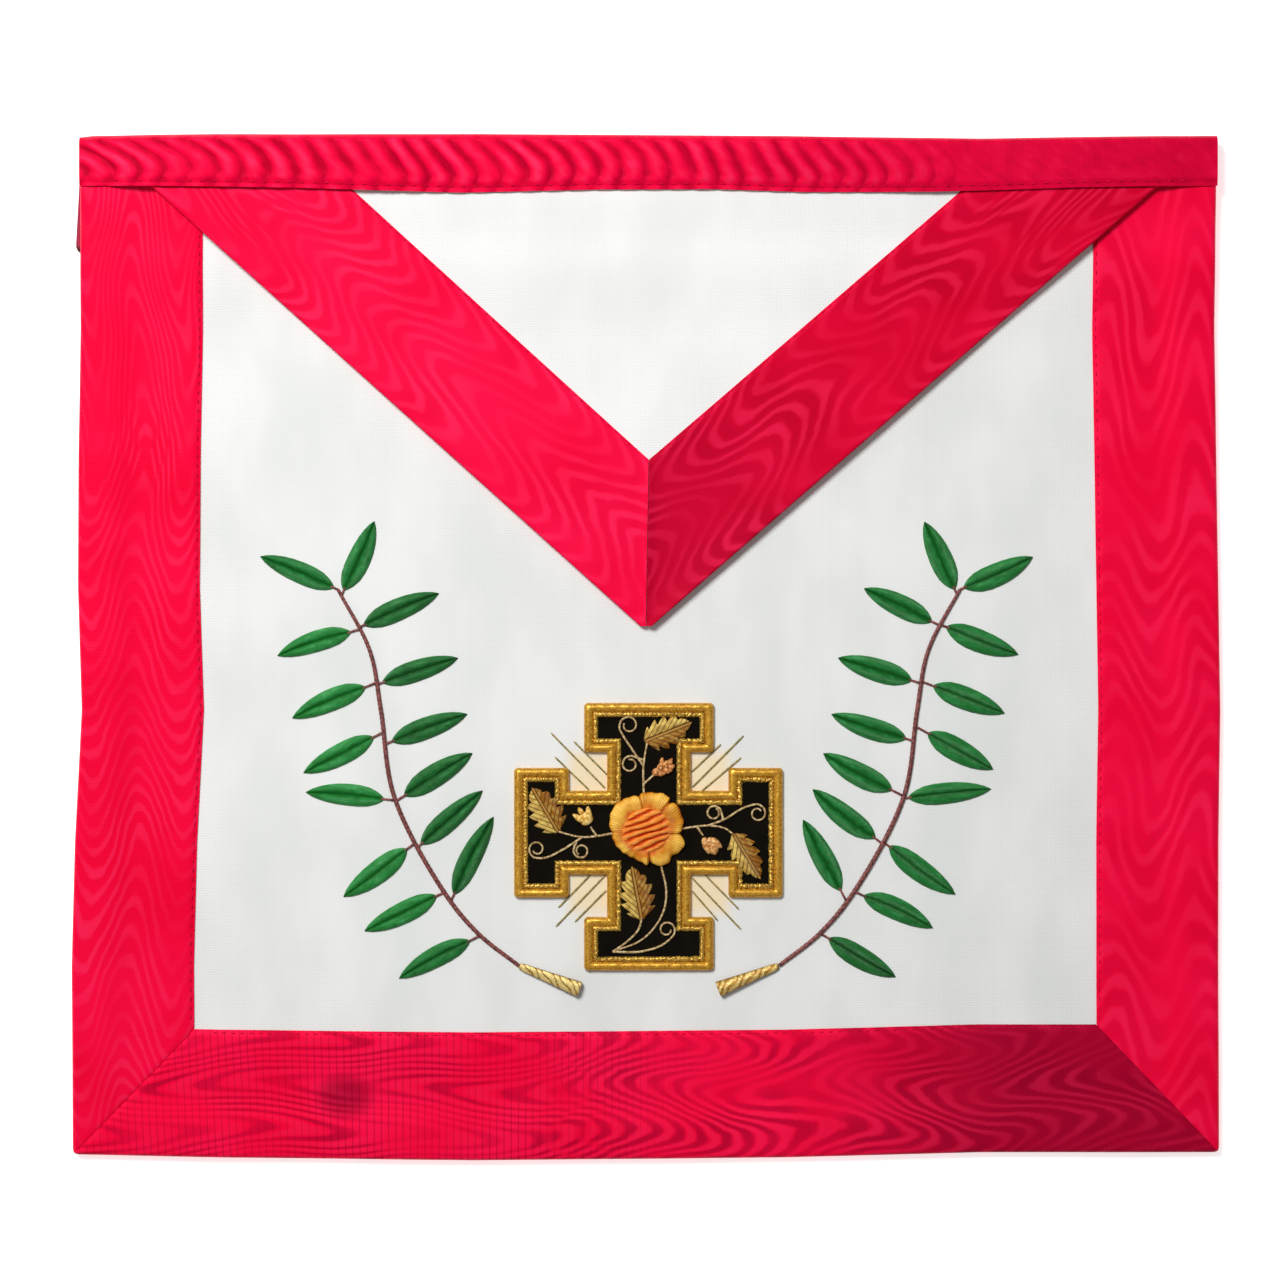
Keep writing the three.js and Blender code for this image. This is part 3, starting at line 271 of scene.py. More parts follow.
def watered_silk(
    name, seed, tones, middle, spacing, reach, light, dark=0.0, ribs=None, long=None, dusk=None, darkened=None
):
    """Red ribbon with the nested arches of watered silk along it.

    An arch's crown stands at a middle across the ribbon, points along it as the reach does,
    and grows longer where "long" says. "ribs" and "dusk" give where fine dark ribs and a zone
    of painted shade start and end along the ribbon, and how strong they are. "darkened" is a
    dark spot's place.
    """
    g = Graph(name, **RED_SILK)
    along, across = g.uv()
    sway = g.noise(along / 48, seed * 7.3, detail=0) * 14 - 7
    bend = ((across + sway - middle) * (2 * np.pi / ARCH_WIDTH)).op("COSINE")
    size = g.noise(along / 38, seed * 3.1, detail=0) * 1.3 + 0.35
    warp = g.noise(along / 34, across / 12, seed * 5.7, detail=2) * 16
    grain = g.noise(along * 0.7, across * 0.08, seed + 0.5) * 1.8
    stretch = g.noise(along / 85, seed * 2.3, 1.7, detail=0) * 46
    field = (along - bend * size * reach + warp + grain + stretch) / spacing
    wave, narrow = field.wave(1), 0.0
    if long:
        start, end, step, far = long
        narrow = along.ease(start, end)
        slow = along - bend * far + warp * 1.4 + stretch
        wave = wave * (narrow * -1 + 1) + slow.wave(step) * narrow
    patch = g.noise(along / 42, across / 22, seed + 9.0).ease(0.34, 0.66) * 0.8 + 0.2
    edge = g.noise(along / 26, across / 9, seed + 6.0) * 1.1
    lit = (wave + edge).ease(0.35, 1.55) * patch * light
    sunk = ((wave - edge + narrow * 0.7 - 0.1) * (narrow + 1)).ease(0, -1.5) * patch * dark
    clouds = g.noise(along / 34, across / 40, seed + 2.0).ease(0.3, 0.7)
    tint = g.mix(clouds, *tones)
    # Painted shade: the ribbon darkens through a zone along it.
    if dusk:
        tint = g.mix(along.ease(*dusk[:2]) * dusk[2], tint, "#7c0424")
    # A darker spot on the ribbon.
    if darkened:
        out = ((along - darkened[0]) * 0.8) ** 2 + (across - darkened[1]) ** 2
        tint = g.mix(out.ease(95, 0) * 0.7, tint, "#8a0628")
    tint = g.mix(sunk, tint, "#8e0429")
    tint = g.mix(lit, tint, "#ff3064")
    if ribs:
        lean = across * 0.06 * along.ease(-60, -170)
        line = (along + lean).wave(2.5).ease(0.72, 1) * along.ease(*ribs[:2]) * ribs[2]
        tint = g.mix(line * (clouds * 0.5 + 0.5), tint, "#86042a")
    fine = along.wave(0.8) * 0.4 + wave * 0.5 + g.noise(along * 0.6, across * 2.5, seed) * 0.5
    return g.finish(tint, fine, 0.035, wave * -0.04 + 0.44)


def gathered_silk():
    """The waistband's red silk, with painted shade in the valleys between its gathers and painted highlights
    on their crests.
    """
    g = Graph("red_ribbon_waist", **RED_SILK)
    along, across = g.uv()
    crest = g.uv("crest")[0]
    streaks = g.noise(along / 5 - across / 16, across / 14, 3.0)
    level = crest + (streaks - 0.5) * 0.9
    # Painted shade in the valleys and painted highlights on the crests, from the tones in the crest layer.
    tint = g.mix(level.ease(0.05, 0.75), "#b80228", "#f80940")
    tint = g.mix(level.ease(0.6, 1.25) * 0.7, tint, "#ff3a6c")
    # Painted shade towards the right end.
    tint = g.mix(along.ease(-60, 190) * 0.4, tint, "#a8032c")
    fine = along.wave(0.8) * 0.4 + g.noise(along * 0.6, across * 1.2, 6.0)
    return g.finish(tint, fine, 0.035)


def white_cloth(name, low, high, cream=False):
    """White cloth with a fine weave and soft clouds of painted shade, and with cream in the corners of the
    cross where it is told.
    """
    g = Graph(name, Roughness=0.62, Sheen_Weight=0.1)
    x, y, z = g.place()
    # Painted shade: soft lighter and darker clouds stand in for the shading of the cloth's shallow dents.
    clouds = g.noise(x / 24, y / 52, 3.0)
    tint = g.mix(clouds.ease(0.28, 0.72), low, high)
    if cream:
        dx, dy = (x - CROSS_X).op("ABSOLUTE"), (y - CROSS_Y).op("ABSOLUTE")
        on_face = z.ease(0.9, 1.3)
        tint = g.mix(dx.op("MAXIMUM", dy).ease(31, 24.5) * on_face * 0.95, tint, "#f6e1b9")
    weave = x.wave(0.55) * 0.5 + y.wave(0.6) * 0.5 + g.noise(x * 1.4, y * 1.4) * 1.5
    return g.finish(tint, weave, 0.03)


def tape_cloth():
    """Ribbed crimson tape, dark at the corner that shows past the left side."""
    g = Graph("strap_tape", Roughness=0.7)
    x, y, _ = g.place()
    ribs = x.wave(1.1)
    tint = g.mix(ribs.ease(-1, 1) * 0.4 + g.noise(x * 0.2, y * 0.2) * 0.3, "#850e32", "#c21a48")
    corner = y.ease(140.4, 138.6) * x.ease(-195.5, -196.5)
    tint = g.mix(corner * 0.9, tint, "#2c020c")
    return g.finish(tint, ribs, 0.08)


def velvet():
    g = Graph("black_velvet", Roughness=0.95, Sheen_Weight=0.03, Sheen_Roughness=0.5, Specular_IOR_Level=0.1)
    x, y, z = g.place()
    pile = g.noise(x * 3, y * 3, z, detail=3)
    brushed = g.noise(x * 0.12, y * 0.12, 5.0)
    tint = g.mix(pile * 0.5 + brushed.ease(0.3, 0.7) * 0.4, "#040201", "#151006")
    return g.finish(tint, pile, 0.2)


def gold(name, low, high, grain, rough=0.34, depth=0.06):
    """Gilt wire and thread, with painted shade in its grooves and painted highlights on its crests."""
    g = Graph(name, Metallic=0.55)
    x, y, z = g.place()
    coarse = g.noise(x * 0.35, y * 0.35, z * 0.5)
    fine = g.noise(x * grain, y * grain, z * grain, detail=3)
    # Painted shade and highlight: the colour follows the height of the fine grain.
    tint = g.mix(fine.ease(0.36, 0.6) * 0.7 + coarse * 0.4, low, high)
    return g.finish(tint, fine, depth, fine * -0.2 + (rough + 0.1))


def wrapped_gold():
    """Gilt thread wound at a slant, with painted highlights on its turns, painted shade in the groove
    between two turns and painted shade along its flanks.
    """
    g = Graph("gold_handle", Metallic=0.4, Roughness=0.4)
    wrap, top = g.uv()
    x, y, z = g.place()
    # The right handle is darker, with softer grooves and less painted shade in them.
    darkened = x.ease(-5, 5)
    crest = wrap.wave(2).op("ABSOLUTE")
    grain = g.noise(x * 1.3, y * 1.3, z, detail=3)
    threads = wrap.wave(0.22)
    level = crest * 0.7 + grain * 1.6 - 0.5 - darkened * 0.3
    # Painted highlights on the turns' crests, painted shade in the grooves, and painted shade along the
    # flanks.
    tint = g.mix(level.ease(0.1, 0.9), "#b07c22", "#f4d98a")
    tint = g.mix(crest.ease(0.3, 0.04) * (darkened * -0.75 + 0.9), tint, "#5c3d0c")
    tint = g.mix(top.ease(0.66, 0.2) * 0.85, tint, "#6a430c")
    return g.finish(tint, crest * (darkened * -0.7 + 1) + threads * 0.25 + grain * 0.7, 0.12)


def thread_silk(name, low, high, light):
    """Green silk laid at a slant in fine threads, darkest along a leaf's middle with painted shade, and with
    painted highlights.
    """
    g = Graph(name, Roughness=0.42, Specular_IOR_Level=0.35)
    along, across = g.uv()
    x, y, _ = g.place()
    out = across.op("ABSOLUTE")
    threads = (along - out * 0.9 + g.noise(along * 0.9, across * 0.5) * 0.6).wave(0.55)
    patch = g.noise(along * 0.16, across * 0.6, x * 0.05)
    streak = g.noise((along - out * 0.9) * 0.5, across * 1.6, y * 0.05)
    drift = g.noise(along * 0.3, y * 0.08, 4.0)
    # Painted shade: the level is lowest along the leaf's middle crease.
    wander = (across + (drift - 0.5) * 4).op("ABSOLUTE")
    level = wander.ease(0, 1.6) * 0.55 + out.ease(0.05, 0.6) * 0.2 + (patch - 0.5) * 1.3 + threads * 0.1
    level = level - (streak - 0.5).ease(0.02, 0.16) * 0.28
    tint = g.mix(level.ease(0, 0.9), low, high)
    # Painted highlight: the light colour where the level and the streaks are high.
    tint = g.mix((level + streak - 0.5).ease(0.7, 1.25) * 0.7, tint, light)
    return g.finish(tint, threads, 0.05)


def veined_silk(name, low, high, vein):
    """A cross leaf: pale gold threads, brown veins and a gold thread along its middle, with painted light on
    one half.
    """
    g = Graph(name, Roughness=0.42, Specular_IOR_Level=0.3)
    along, across = g.uv()
    out = across.op("ABSOLUTE")
    ribs = (along - out * 1.2).wave(2.3)
    threads = (along - out * 1.2 + g.noise(along, across) * 0.6).wave(0.5)
    patch = g.noise(along * 0.5, across * 0.7, g.place()[1] * 0.1)
    # Painted light: one half of the leaf lighter, the other in painted shade.
    bright = g.uv("crest")[0]
    level = patch.ease(0.35, 0.65) * 0.6 + bright * 0.7 + threads * 0.2 - 0.27
    tint = g.mix(level, low, high)
    lines = ribs.ease(0.55, 0.95) * 0.75
    tint = g.mix(lines.op("MAXIMUM", out.ease(0.9, 0.5)), tint, vein)
    tint = g.mix(out.ease(0.48, 0.25) * 0.9, tint, "#d09a48")
    return g.finish(tint, threads * 0.6 - ribs.ease(0.3, 1), 0.1)


def petal_silk():
    """Golden silk, orange near the heart, with painted light and shade from the petals' tones and painted
    shade in the creases between petals.
    """
    g = Graph("yellow_silk", Roughness=0.45, Specular_IOR_Level=0.28)
    turn, out = g.uv()
    tone = g.uv("crest")[0]
    threads = (turn + g.noise(turn * 0.6, out * 0.4) * 0.8).wave(0.7)
    patch = g.noise(turn * 0.3, out * 0.3, 2.0)
    level = tone + (patch - 0.5) * 0.9
    # Painted light and shade: each petal's tone from the crest layer.
    tint = g.mix(level.ease(0.25, 1.15), "#d6840e", "#ffc650")
    glow = (out + (patch - 0.5) * 5 + threads * 0.3).ease(6.4, 10.2)
    tint = g.mix(glow, "#e0601a", tint)
    # Painted shade in the creases between petals and at their edges.
    tint = g.mix(tone.ease(0.4, 0.02) * 0.85, tint, "#9c4a0e")
    streaks = g.noise(turn * 1.3, out * 0.2, 7.0).ease(0.6, 0.75) * out.ease(9, 12)
    tint = g.mix(threads.ease(0.4, 1) * 0.22 + streaks * 0.4, tint, "#a85a14")
    return g.finish(tint, threads * 0.6 + patch, 0.1)


def heart_silk():
    g = Graph("orange_silk", Roughness=0.36, Specular_IOR_Level=0.22)
    along, across = g.uv()
    # Painted highlights on the strands' crests and painted shade between them, with streaks of painted
    # highlight.
    crest = across.wave(1).ease(-0.9, 0.5)
    streak = g.noise(along * 0.5, across * 2.2)
    tint = g.mix(crest, "#d2480a", "#ff9230")
    tint = g.mix(crest * streak.ease(0.45, 0.62) * 0.7, tint, "#ffb05a")
    threads = (along * 0.5 + across * 3).wave(0.5)
    return g.finish(tint, threads + streak, 0.05)


def plain_thread(name, low, high, rough=0.55, shine=0.5):
    g = Graph(name, Roughness=rough, Specular_IOR_Level=shine)
    x, y, z = g.place()
    strands = g.noise(x * 1.1, y * 1.1, z * 1.1, detail=3)
    tint = g.mix(strands.ease(0.35, 0.65), low, high)
    return g.finish(tint, strands, 0.08)


def quads(rows, columns, close_rows=False, close_columns=False):
    """The faces of a grid of points, given row by row."""
    i = np.arange(rows if close_rows else rows - 1)[:, None]
    j = np.arange(columns if close_columns else columns - 1)[None, :]
    below, beside = (i + 1) % rows, (j + 1) % columns
    corners = [i * columns + j, below * columns + j, below * columns + beside, i * columns + beside]
    return np.stack([np.broadcast_to(c, (i.size, j.size)) for c in corners], -1).reshape(-1, 4)


def six_volumes(points, faces):
    a, b, c, d = (points[faces[:, k]] for k in range(4))
    return (np.einsum("ij,ij->i", a, np.cross(b, c)) + np.einsum("ij,ij->i", a, np.cross(c, d))).sum()


class Shape:
    """Closed bodies gathered into one mesh."""

    def __init__(self):
        self.points, self.quads, self.ends, self.uvs = [], [], [], []
        self.count, self.crest = 0, None

    def add(self, points, faces, ends=(), uvs=None):
        """Takes in a body, with its faces turned outwards."""
        if six_volumes(points - points.mean(0), faces) < 0:
            faces, ends = faces[:, ::-1], [end[::-1] for end in ends]
        self.points.append(points)
        self.quads.append(faces + self.count)
        self.ends += [[index + self.count for index in end] for end in ends]
        self.uvs.append(np.zeros((len(points), 2)) if uvs is None else uvs)
        self.count += len(points)

    def slab(self, top, under, uvs):
        """A sheet between two grids of points."""
        rows, columns = top.shape[:2]
        size = rows * columns
        face, index = quads(rows, columns), np.arange(size).reshape(rows, columns)
        rim = np.concatenate([index[0, :-1], index[:-1, -1], index[-1, :0:-1], index[:0:-1, 0]])
        after = np.roll(rim, -1)
        side = np.stack([rim, after, after + size, rim + size], -1)
        points = np.concatenate([top.reshape(-1, 3), under.reshape(-1, 3)])
        faces = np.concatenate([face, face[:, ::-1] + size, side])
        self.add(points, faces, uvs=np.concatenate([uvs.reshape(-1, 2)] * 2))

    def rings(self, rings, closed=False, uvs=None):
        """A body through rings of points. It has flat ends, or closes on itself."""
        rows, columns = rings.shape[:2]
        last = (rows - 1) * columns
        ends = [] if closed else [list(range(columns)), list(range(last + columns - 1, last - 1, -1))]
        faces = quads(rows, columns, close_rows=closed, close_columns=True)
        self.add(rings.reshape(-1, 3), faces, ends, None if uvs is None else uvs.reshape(-1, 2))

    def tube(self, line, radius, sides=8, flat=1.0, twist=0.0, depth=0.14):
        """A thread along a line that lies level. A twist is so many millimetres for one turn."""
        along = np.gradient(line, axis=0)
        along /= np.linalg.norm(along, axis=1)[:, None]
        side = np.cross([0, 0, 1], along)
        side /= np.linalg.norm(side, axis=1)[:, None]
        up = np.cross(along, side)
        turn, length = full_turn(sides), run_length(line)
        size = np.broadcast_to(np.asarray(radius, float), len(line))[:, None] * np.ones(sides)
        if twist:
            size = size * (1 + depth * np.cos(2 * (turn - 2 * np.pi * length[:, None] / twist)))
        spread = side[:, None] * (np.cos(turn) * size)[..., None]
        rise = up[:, None] * (np.sin(turn) * size * flat)[..., None]
        self.rings(line[:, None] + spread + rise, uvs=grid(length[:, None], turn))

    def build(self, name, material, *nodes, slot=None, smooth=50):
        """Makes the piece, which rides on the body and stands for the CAD nodes it names."""
        mesh = bpy.data.meshes.new(name)
        points = np.concatenate(self.points) * MM
        faces = np.concatenate(self.quads).tolist() + self.ends
        mesh.from_pydata(points.tolist(), [], faces)
        corner = np.empty(len(mesh.loops), int)
        mesh.loops.foreach_get("vertex_index", corner)
        layers = {"cut": np.concatenate(self.uvs)}
        # The crest layer holds tones of painted light and shade.
        if self.crest is not None:
            layers["crest"] = np.repeat(self.crest[:, None], 2, 1)
        for layer, values in layers.items():
            mesh.uv_layers.new(name=layer).data.foreach_set("uv", values[corner].astype(np.float32).ravel())
        mesh.polygons.foreach_set("use_smooth", np.ones(len(mesh.polygons), bool))
        mesh.set_sharp_from_angle(angle=np.radians(smooth))
        mesh.materials.append(material)
        piece = bpy.data.objects.new(name, mesh)
        bpy.context.collection.objects.link(piece)
        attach(piece, "root")
        if nodes:
            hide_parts(*nodes)
        return piece


def grid(*parts):
    return np.stack(np.broadcast_arrays(*parts), -1)


def smooth_line(points, step=0.4):
    """A smooth line through the points, with even steps."""
    p = np.asarray(points, float)
    ends = np.vstack([2 * p[0] - p[1], p, 2 * p[-1] - p[-2]])
    pieces = []
    for a, b, c, d in zip(ends, ends[1:], ends[2:], ends[3:]):
        ta, tb, tc = (max(np.linalg.norm(q - r), 1e-6) ** 0.5 for q, r in ((a, b), (b, c), (c, d)))
        leave = ((b - a) / ta - (c - a) / (ta + tb) + (c - b) / tb) * tb
        reach = ((c - b) / tb - (d - b) / (tb + tc) + (d - c) / tc) * tb
        s = np.linspace(0, 1, 24, endpoint=False)[:, None]
        at_b, at_c = 2 * s**3 - 3 * s**2 + 1, 3 * s**2 - 2 * s**3
        pieces.append(at_b * b + (s**3 - 2 * s**2 + s) * leave + at_c * c + (s**3 - s**2) * reach)
    return resample(np.vstack([*pieces, p[-1:]]), step)


def resample(line, step):
    total = run_length(line)[-1]
    return spots_at(line, np.linspace(0, total, max(int(round(total / step)), 2) + 1))


def laid(line, height):
    """Puts a flat line on the panel, its middle at a height above the cloth."""
    return np.column_stack([line, cloth(line[:, 0], line[:, 1]) + height])


def lumps(points, size, seed):
    """Noise from -1 to 1 at each point, with lumps of a size."""
    shift = Vector((seed * 17.3, seed * 5.1, seed * 9.7))
    flat = points.reshape(-1, 3) / size
    return np.array([noise.noise(Vector(p) + shift) for p in flat]).reshape(points.shape[:-1])


# The angles round a fold, from the face to the return.
BEND = np.radians(np.linspace(90, -90, 9)[1:-1])


class Fold:
    """The section of a folded ribbon: from its free edge, over the fold, to its return's end."""

    def __init__(self, width, back, radius=1.5, step=1.6):
        flat = np.r_[0, 0.35, 0.9, 1.7, np.linspace(2.8, width - radius, int(width / step))]
        reach = np.linspace(radius, back, max(int(back / 2.5), 2))
        self.inward = np.r_[width - flat, radius * (1 - np.cos(BEND)), reach]
        self.sine = np.r_[np.ones(len(flat)), np.sin(BEND), -np.ones(len(reach))]
        self.cosine = np.sqrt(1 - self.sine**2)
        self.free = width - self.inward
        self.front = self.sine > 0.999

    def heights(self, front, back, wall):
        """The outer and the inner face of the ribbon, as heights and extra inward distance."""
        outer = (front + back) / 2 + (front - back) / 2 * self.sine
        edge = np.where(self.front, 0.45 + 0.55 * ease(self.free, 0, 2.2), 1)
        return outer, outer - wall * edge * self.sine, wall * self.cosine


def corner_inset(distance, radius=2.0):
    near = np.clip(radius - distance, 0, radius)
    return radius - np.sqrt(radius**2 - near**2)


def edge_taper(fold):
    """How far a ribbon's top sinks towards its stitched free edge."""
    return np.where(fold.front, 0.75 * (1 - ease(fold.free, 0, 2.2)), 0)


def side_border(side, name, node, material):
    fold = Fold(SIDE_RIBBON, RIBBON_TURN)
    edge = left_edge if side < 0 else right_edge
    inward = fold.inward[None, :]
    foot = bottom_edge(edge(BOTTOM + inward) - side * inward)
    foot = foot + np.maximum(inward * BOTTOM_RIBBON / SIDE_RIBBON, 0.6) - 0.12
    share = np.r_[0, 0.0015, 0.004, 0.009, np.linspace(0.016, 1, 210)][:, None]
    y = foot + (BORDER_TOP - foot) * share
    rounded = corner_inset(y - bottom_edge(edge(y))) * np.clip(1 - inward / 2, 0, 1)

    def across(extra):
        return edge(y) - side * (inward + rounded + extra)

    x = across(0)
    front = cloth(x, y) + RIBBON_LIFT - edge_taper(fold) - 0.3 * (1 - ease(y - foot, 0, 0.9)) * fold.front
    outer, inner, extra = fold.heights(front, band_rise(y) + 0.4 * ripple(x, y), RIBBON_WALL)
    shape = Shape()
    shape.slab(grid(x, y, outer), grid(across(extra), y, inner), grid(y, inward))
    piece = shape.build(name, material, node, slot="red_ribbon")


def bottom_border(material):
    fold = Fold(BOTTOM_RIBBON, RIBBON_TURN)
    inward = fold.inward[None, :]
    cut = np.maximum(inward * SIDE_RIBBON / BOTTOM_RIBBON, 0.6) - 0.12
    start, end = left_edge(BOTTOM + inward) + cut, right_edge(BOTTOM + inward) - cut
    share = np.r_[0, 0.0015, 0.004, 0.009, np.linspace(0.016, 0.984, 240), 0.991, 0.996, 0.9985, 1][:, None]
    x = start + (end - start) * share
    near = np.minimum(x - left_edge(BOTTOM), right_edge(BOTTOM) - x)
    rounded = corner_inset(near) * np.clip(1 - inward / 2, 0, 1)

    def across(extra):
        return bottom_edge(x) + inward + rounded + extra

    y = across(0)
    seam = ease(np.minimum(x - start, end - x), 0, 1.6)
    front = cloth(x, y) + RIBBON_LIFT - edge_taper(fold) - 0.62 * (1 - seam) * fold.front
    outer, inner, extra = fold.heights(front, 0.4 * ripple(x, y), RIBBON_WALL)
    shape = Shape()
    shape.slab(grid(x, y, outer), grid(x, across(extra), inner), grid(x, inward))
    piece = shape.build("folded_border_bottom", material, "border_bottom", slot="red_ribbon")


def panel(material):
    s = np.linspace(0, 1, 150)[None, :]
    t = np.linspace(0, 1, 134)[:, None]
    level = BOTTOM + (TOP - BOTTOM) * t
    left, right = left_edge(level) + PANEL_INSET, right_edge(level) - PANEL_INSET
    x = left + (right - left) * s
    low, high = bottom_edge(x) + PANEL_INSET, top_edge(x) - PANEL_INSET
    y = low + (high - low) * t
    top = cloth(x, y)
    shape = Shape()
    shape.slab(grid(x, y, top), grid(x, y, top - PANEL_WALL + 0.02), grid(x, y))
    piece = shape.build("apron_panel", material, "apron_body", slot="white_cloth")


def flap_panel(material):
    tip = np.linspace(SEAM_APEX - 2, FLAP_TIP + 2, 30)
    y = np.r_[FLAP_TOP, np.linspace(160, SEAM_APEX, 60), tip][:, None]
    s = np.linspace(0, 1, 110)[None, :]
    left, right = flap_edge(y, -1) + 1.2, flap_edge(y, 1) - 1.2
    x = left + (right - left) * s
    under = flap_under(x, y)
    shape = Shape()
    shape.slab(grid(x, y, under + 1), grid(x, y, under + 0.1), grid(x, y))
    piece = shape.build("flap_cloth", material, "flap_panel", slot="white_cloth")


def flap_ribbon(side, name, node, material):
    tip = np.linspace(SEAM_APEX - 1.2, FLAP_TIP, 56)
    y = np.r_[FLAP_TOP, np.linspace(161.5, SEAM_APEX, 90), tip][:, None]
    edge, seam = flap_edge(y, side), flap_seam(y, side)
    width = np.abs(edge - seam)
    radius = np.minimum(1.1, width / 3)
    flat = np.r_[0, 0.006, 0.015, 0.03, 0.05, np.linspace(0.08, 1, 44)]
    face = width + (radius - width) * flat
    turned_in = radius + np.minimum(4, width * 0.6) * np.array([0, 0.5, 1])
    inward = np.hstack([face, radius * (1 - np.cos(BEND)), turned_in])
    sine = np.r_[np.ones(len(flat)), np.sin(BEND), -np.ones(3)][None, :]
    cosine = np.sqrt(1 - sine**2)
    on_front = sine > 0.999
    x = edge - side * inward
    free = width - inward
    sink = on_front * 0.8 * (1 - ease(free, 0, 1.8)) * ease(y, SEAM_APEX - 1, SEAM_APEX + 2)
    ridge = on_front * 0.5 * np.exp(-((free / 1.4) ** 2)) * (1 - ease(y, SEAM_APEX - 3, SEAM_APEX))
    under = flap_under(x, y)
    front = under + FLAP_LIFT - sink + ridge
    outer = (front + under) / 2 + (front - under) / 2 * sine
    inner = outer - 0.55 * sine * np.where(on_front, 0.4 + 0.6 * ease(free, 0, 1.8), 1)
    start = np.array([side * (FLAP_LEFT if side < 0 else FLAP_RIGHT), WAIST_EDGE])
    way = np.array([side * 2, FLAP_TIP]) - start
    way /= np.linalg.norm(way)
    along = (x - start[0]) * way[0] + (y - start[1]) * way[1]
    off = np.abs((x - start[0]) * way[1] - (y - start[1]) * way[0])
    shape = Shape()
    inside = grid(x - side * 0.5 * cosine * radius, y, inner)
    shape.slab(grid(x, y, outer), inside, grid(along, off))
    piece = shape.build(name, material, node, slot="red_ribbon")


def under_waist(x):
    """What the waistband's front lies on, along the top edge."""

    def inside(start, end, soft=34):
        return ease(x, start - soft, start) * (1 - ease(x, end, end + soft))

    inward = np.minimum(x - left_edge(WAIST_EDGE), right_edge(WAIST_EDGE) - x)
    on_flap = inside(2 - FLAP_LEFT, FLAP_RIGHT - 2, 20)
    on_seam = 1 - inside(38 - PANEL_LEFT, PANEL_RIGHT - 38)
    on_border = 1 - ease(inward, 44, 80)
    on_turn = 1.3 * (1 - ease(inward, 12, 36)) * (1 - on_flap)
    return 4.5 + on_flap * (1.3 + on_seam * 1.3 + on_border * 0.5) + on_border * 1.3 + on_turn


WAIST_LOW = [
    (-200, 160.2), (-120, 159.4), (-95, 158.6), (-64, 157.9), (-16, 159.0),
    (24, 159.1), (55, 158.1), (100, 158.1), (150, 159.4), (200, 160.2),
]


def waist_height(x):
    return top_edge(x) - np.interp(x, *np.transpose(WAIST_LOW))


def waist_share(x, y):
    """Where a place lies between the waistband's top, 0, and its lower edge, 1."""
    return (top_edge(x) - y) / waist_height(x)


def waist_puckers(x, share):
    """The height of the oblique gathers across the waistband, and the tone of their painted shade and
    highlight, from 0 to about 1.
    """
    chance = np.random.default_rng(11)
    pitches = np.r_[chance.uniform(9.4, 10.8, 11), chance.uniform(7.8, 9.2, 25)]
    starts = -221 + np.r_[0, np.cumsum(pitches)]
    sizes = chance.uniform(0.6, 1, len(starts) + 1)
    sizes[-8:] *= np.linspace(0.85, 0.2, 8)
    lean = np.interp(x, [-190, -110, 60, 140], [17, 11, 9, 5])
    slant = lean * np.sin(np.clip(share / 0.8, 0, 1) * np.pi / 2) ** 1.15 - 9 * np.clip(share - 0.74, 0, 1)
    slant = slant + 0.9 * np.sin(share * 6 + x / 21)
    phase = np.interp(x - slant, starts, np.arange(len(starts)), left=0, right=len(starts) - 1)
    which = np.minimum(phase.astype(int), len(starts) - 1)
    inside = phase - which
    crest = np.sin(np.pi * np.clip(inside, 0, 1) ** 0.8) ** 0.9
    at, tall = [0, 0.1, 0.3, 0.6, 0.82, 0.9, 0.95, 1], [0.35, 0.75, 1, 1, 0.75, 0.3, 0.45, 0.6]
    height = np.interp(share, at, tall)
    there = sizes[which] * height * (which < len(starts) - 1)
    shade = (0.5 - 0.5 * np.cos(2 * np.pi * np.clip(inside, 0, 1) ** 0.85)) ** 0.8
    return there * crest, 0.6 + there * (shade - 0.6)


def waistband(material):
    fold = Fold(WAIST_RIBBON, WAIST_TURN, radius=2.4, step=0.75)
    share = np.linspace(0, 1, 860)[:, None]
    x = left_edge(TOP) + (right_edge(TOP) - left_edge(TOP)) * share
    drop = fold.inward[None, :]
    y = top_edge(x) - drop * waist_height(x) / WAIST_RIBBON
    ends = ease(np.minimum(x - x[0], x[-1] - x), 0, 4)
    puckers, tone = waist_puckers(x, waist_share(x, y))
    puckers = puckers * ends
    stitch = 0.4 * np.exp(-(((drop - WAIST_STITCH) / 0.6) ** 2))
    front = under_waist(x) + WAIST_LIFT - edge_taper(fold) * 0.8
    front = front + fold.front * (PUCKER * puckers - stitch)
    over = fold.sine * 0.5 + 0.5
    outer, inner, extra = fold.heights(front, 1.5, RIBBON_WALL)
    outer = outer + (1 - fold.front) * over * puckers * 0.4
    shape = Shape()
    shape.slab(grid(x, y, outer), grid(x, y - extra, inner), grid(x, drop * 2.2))
    # The crest layer gets painted shade and highlight across the gathers, and painted shade along the stitch
    # line.
    shape.crest = np.tile(np.where(fold.front, tone - 0.6 * stitch, 0.5).ravel(), 2)
    piece = shape.build("gathered_waistband", material, "waistband", slot="red_ribbon")


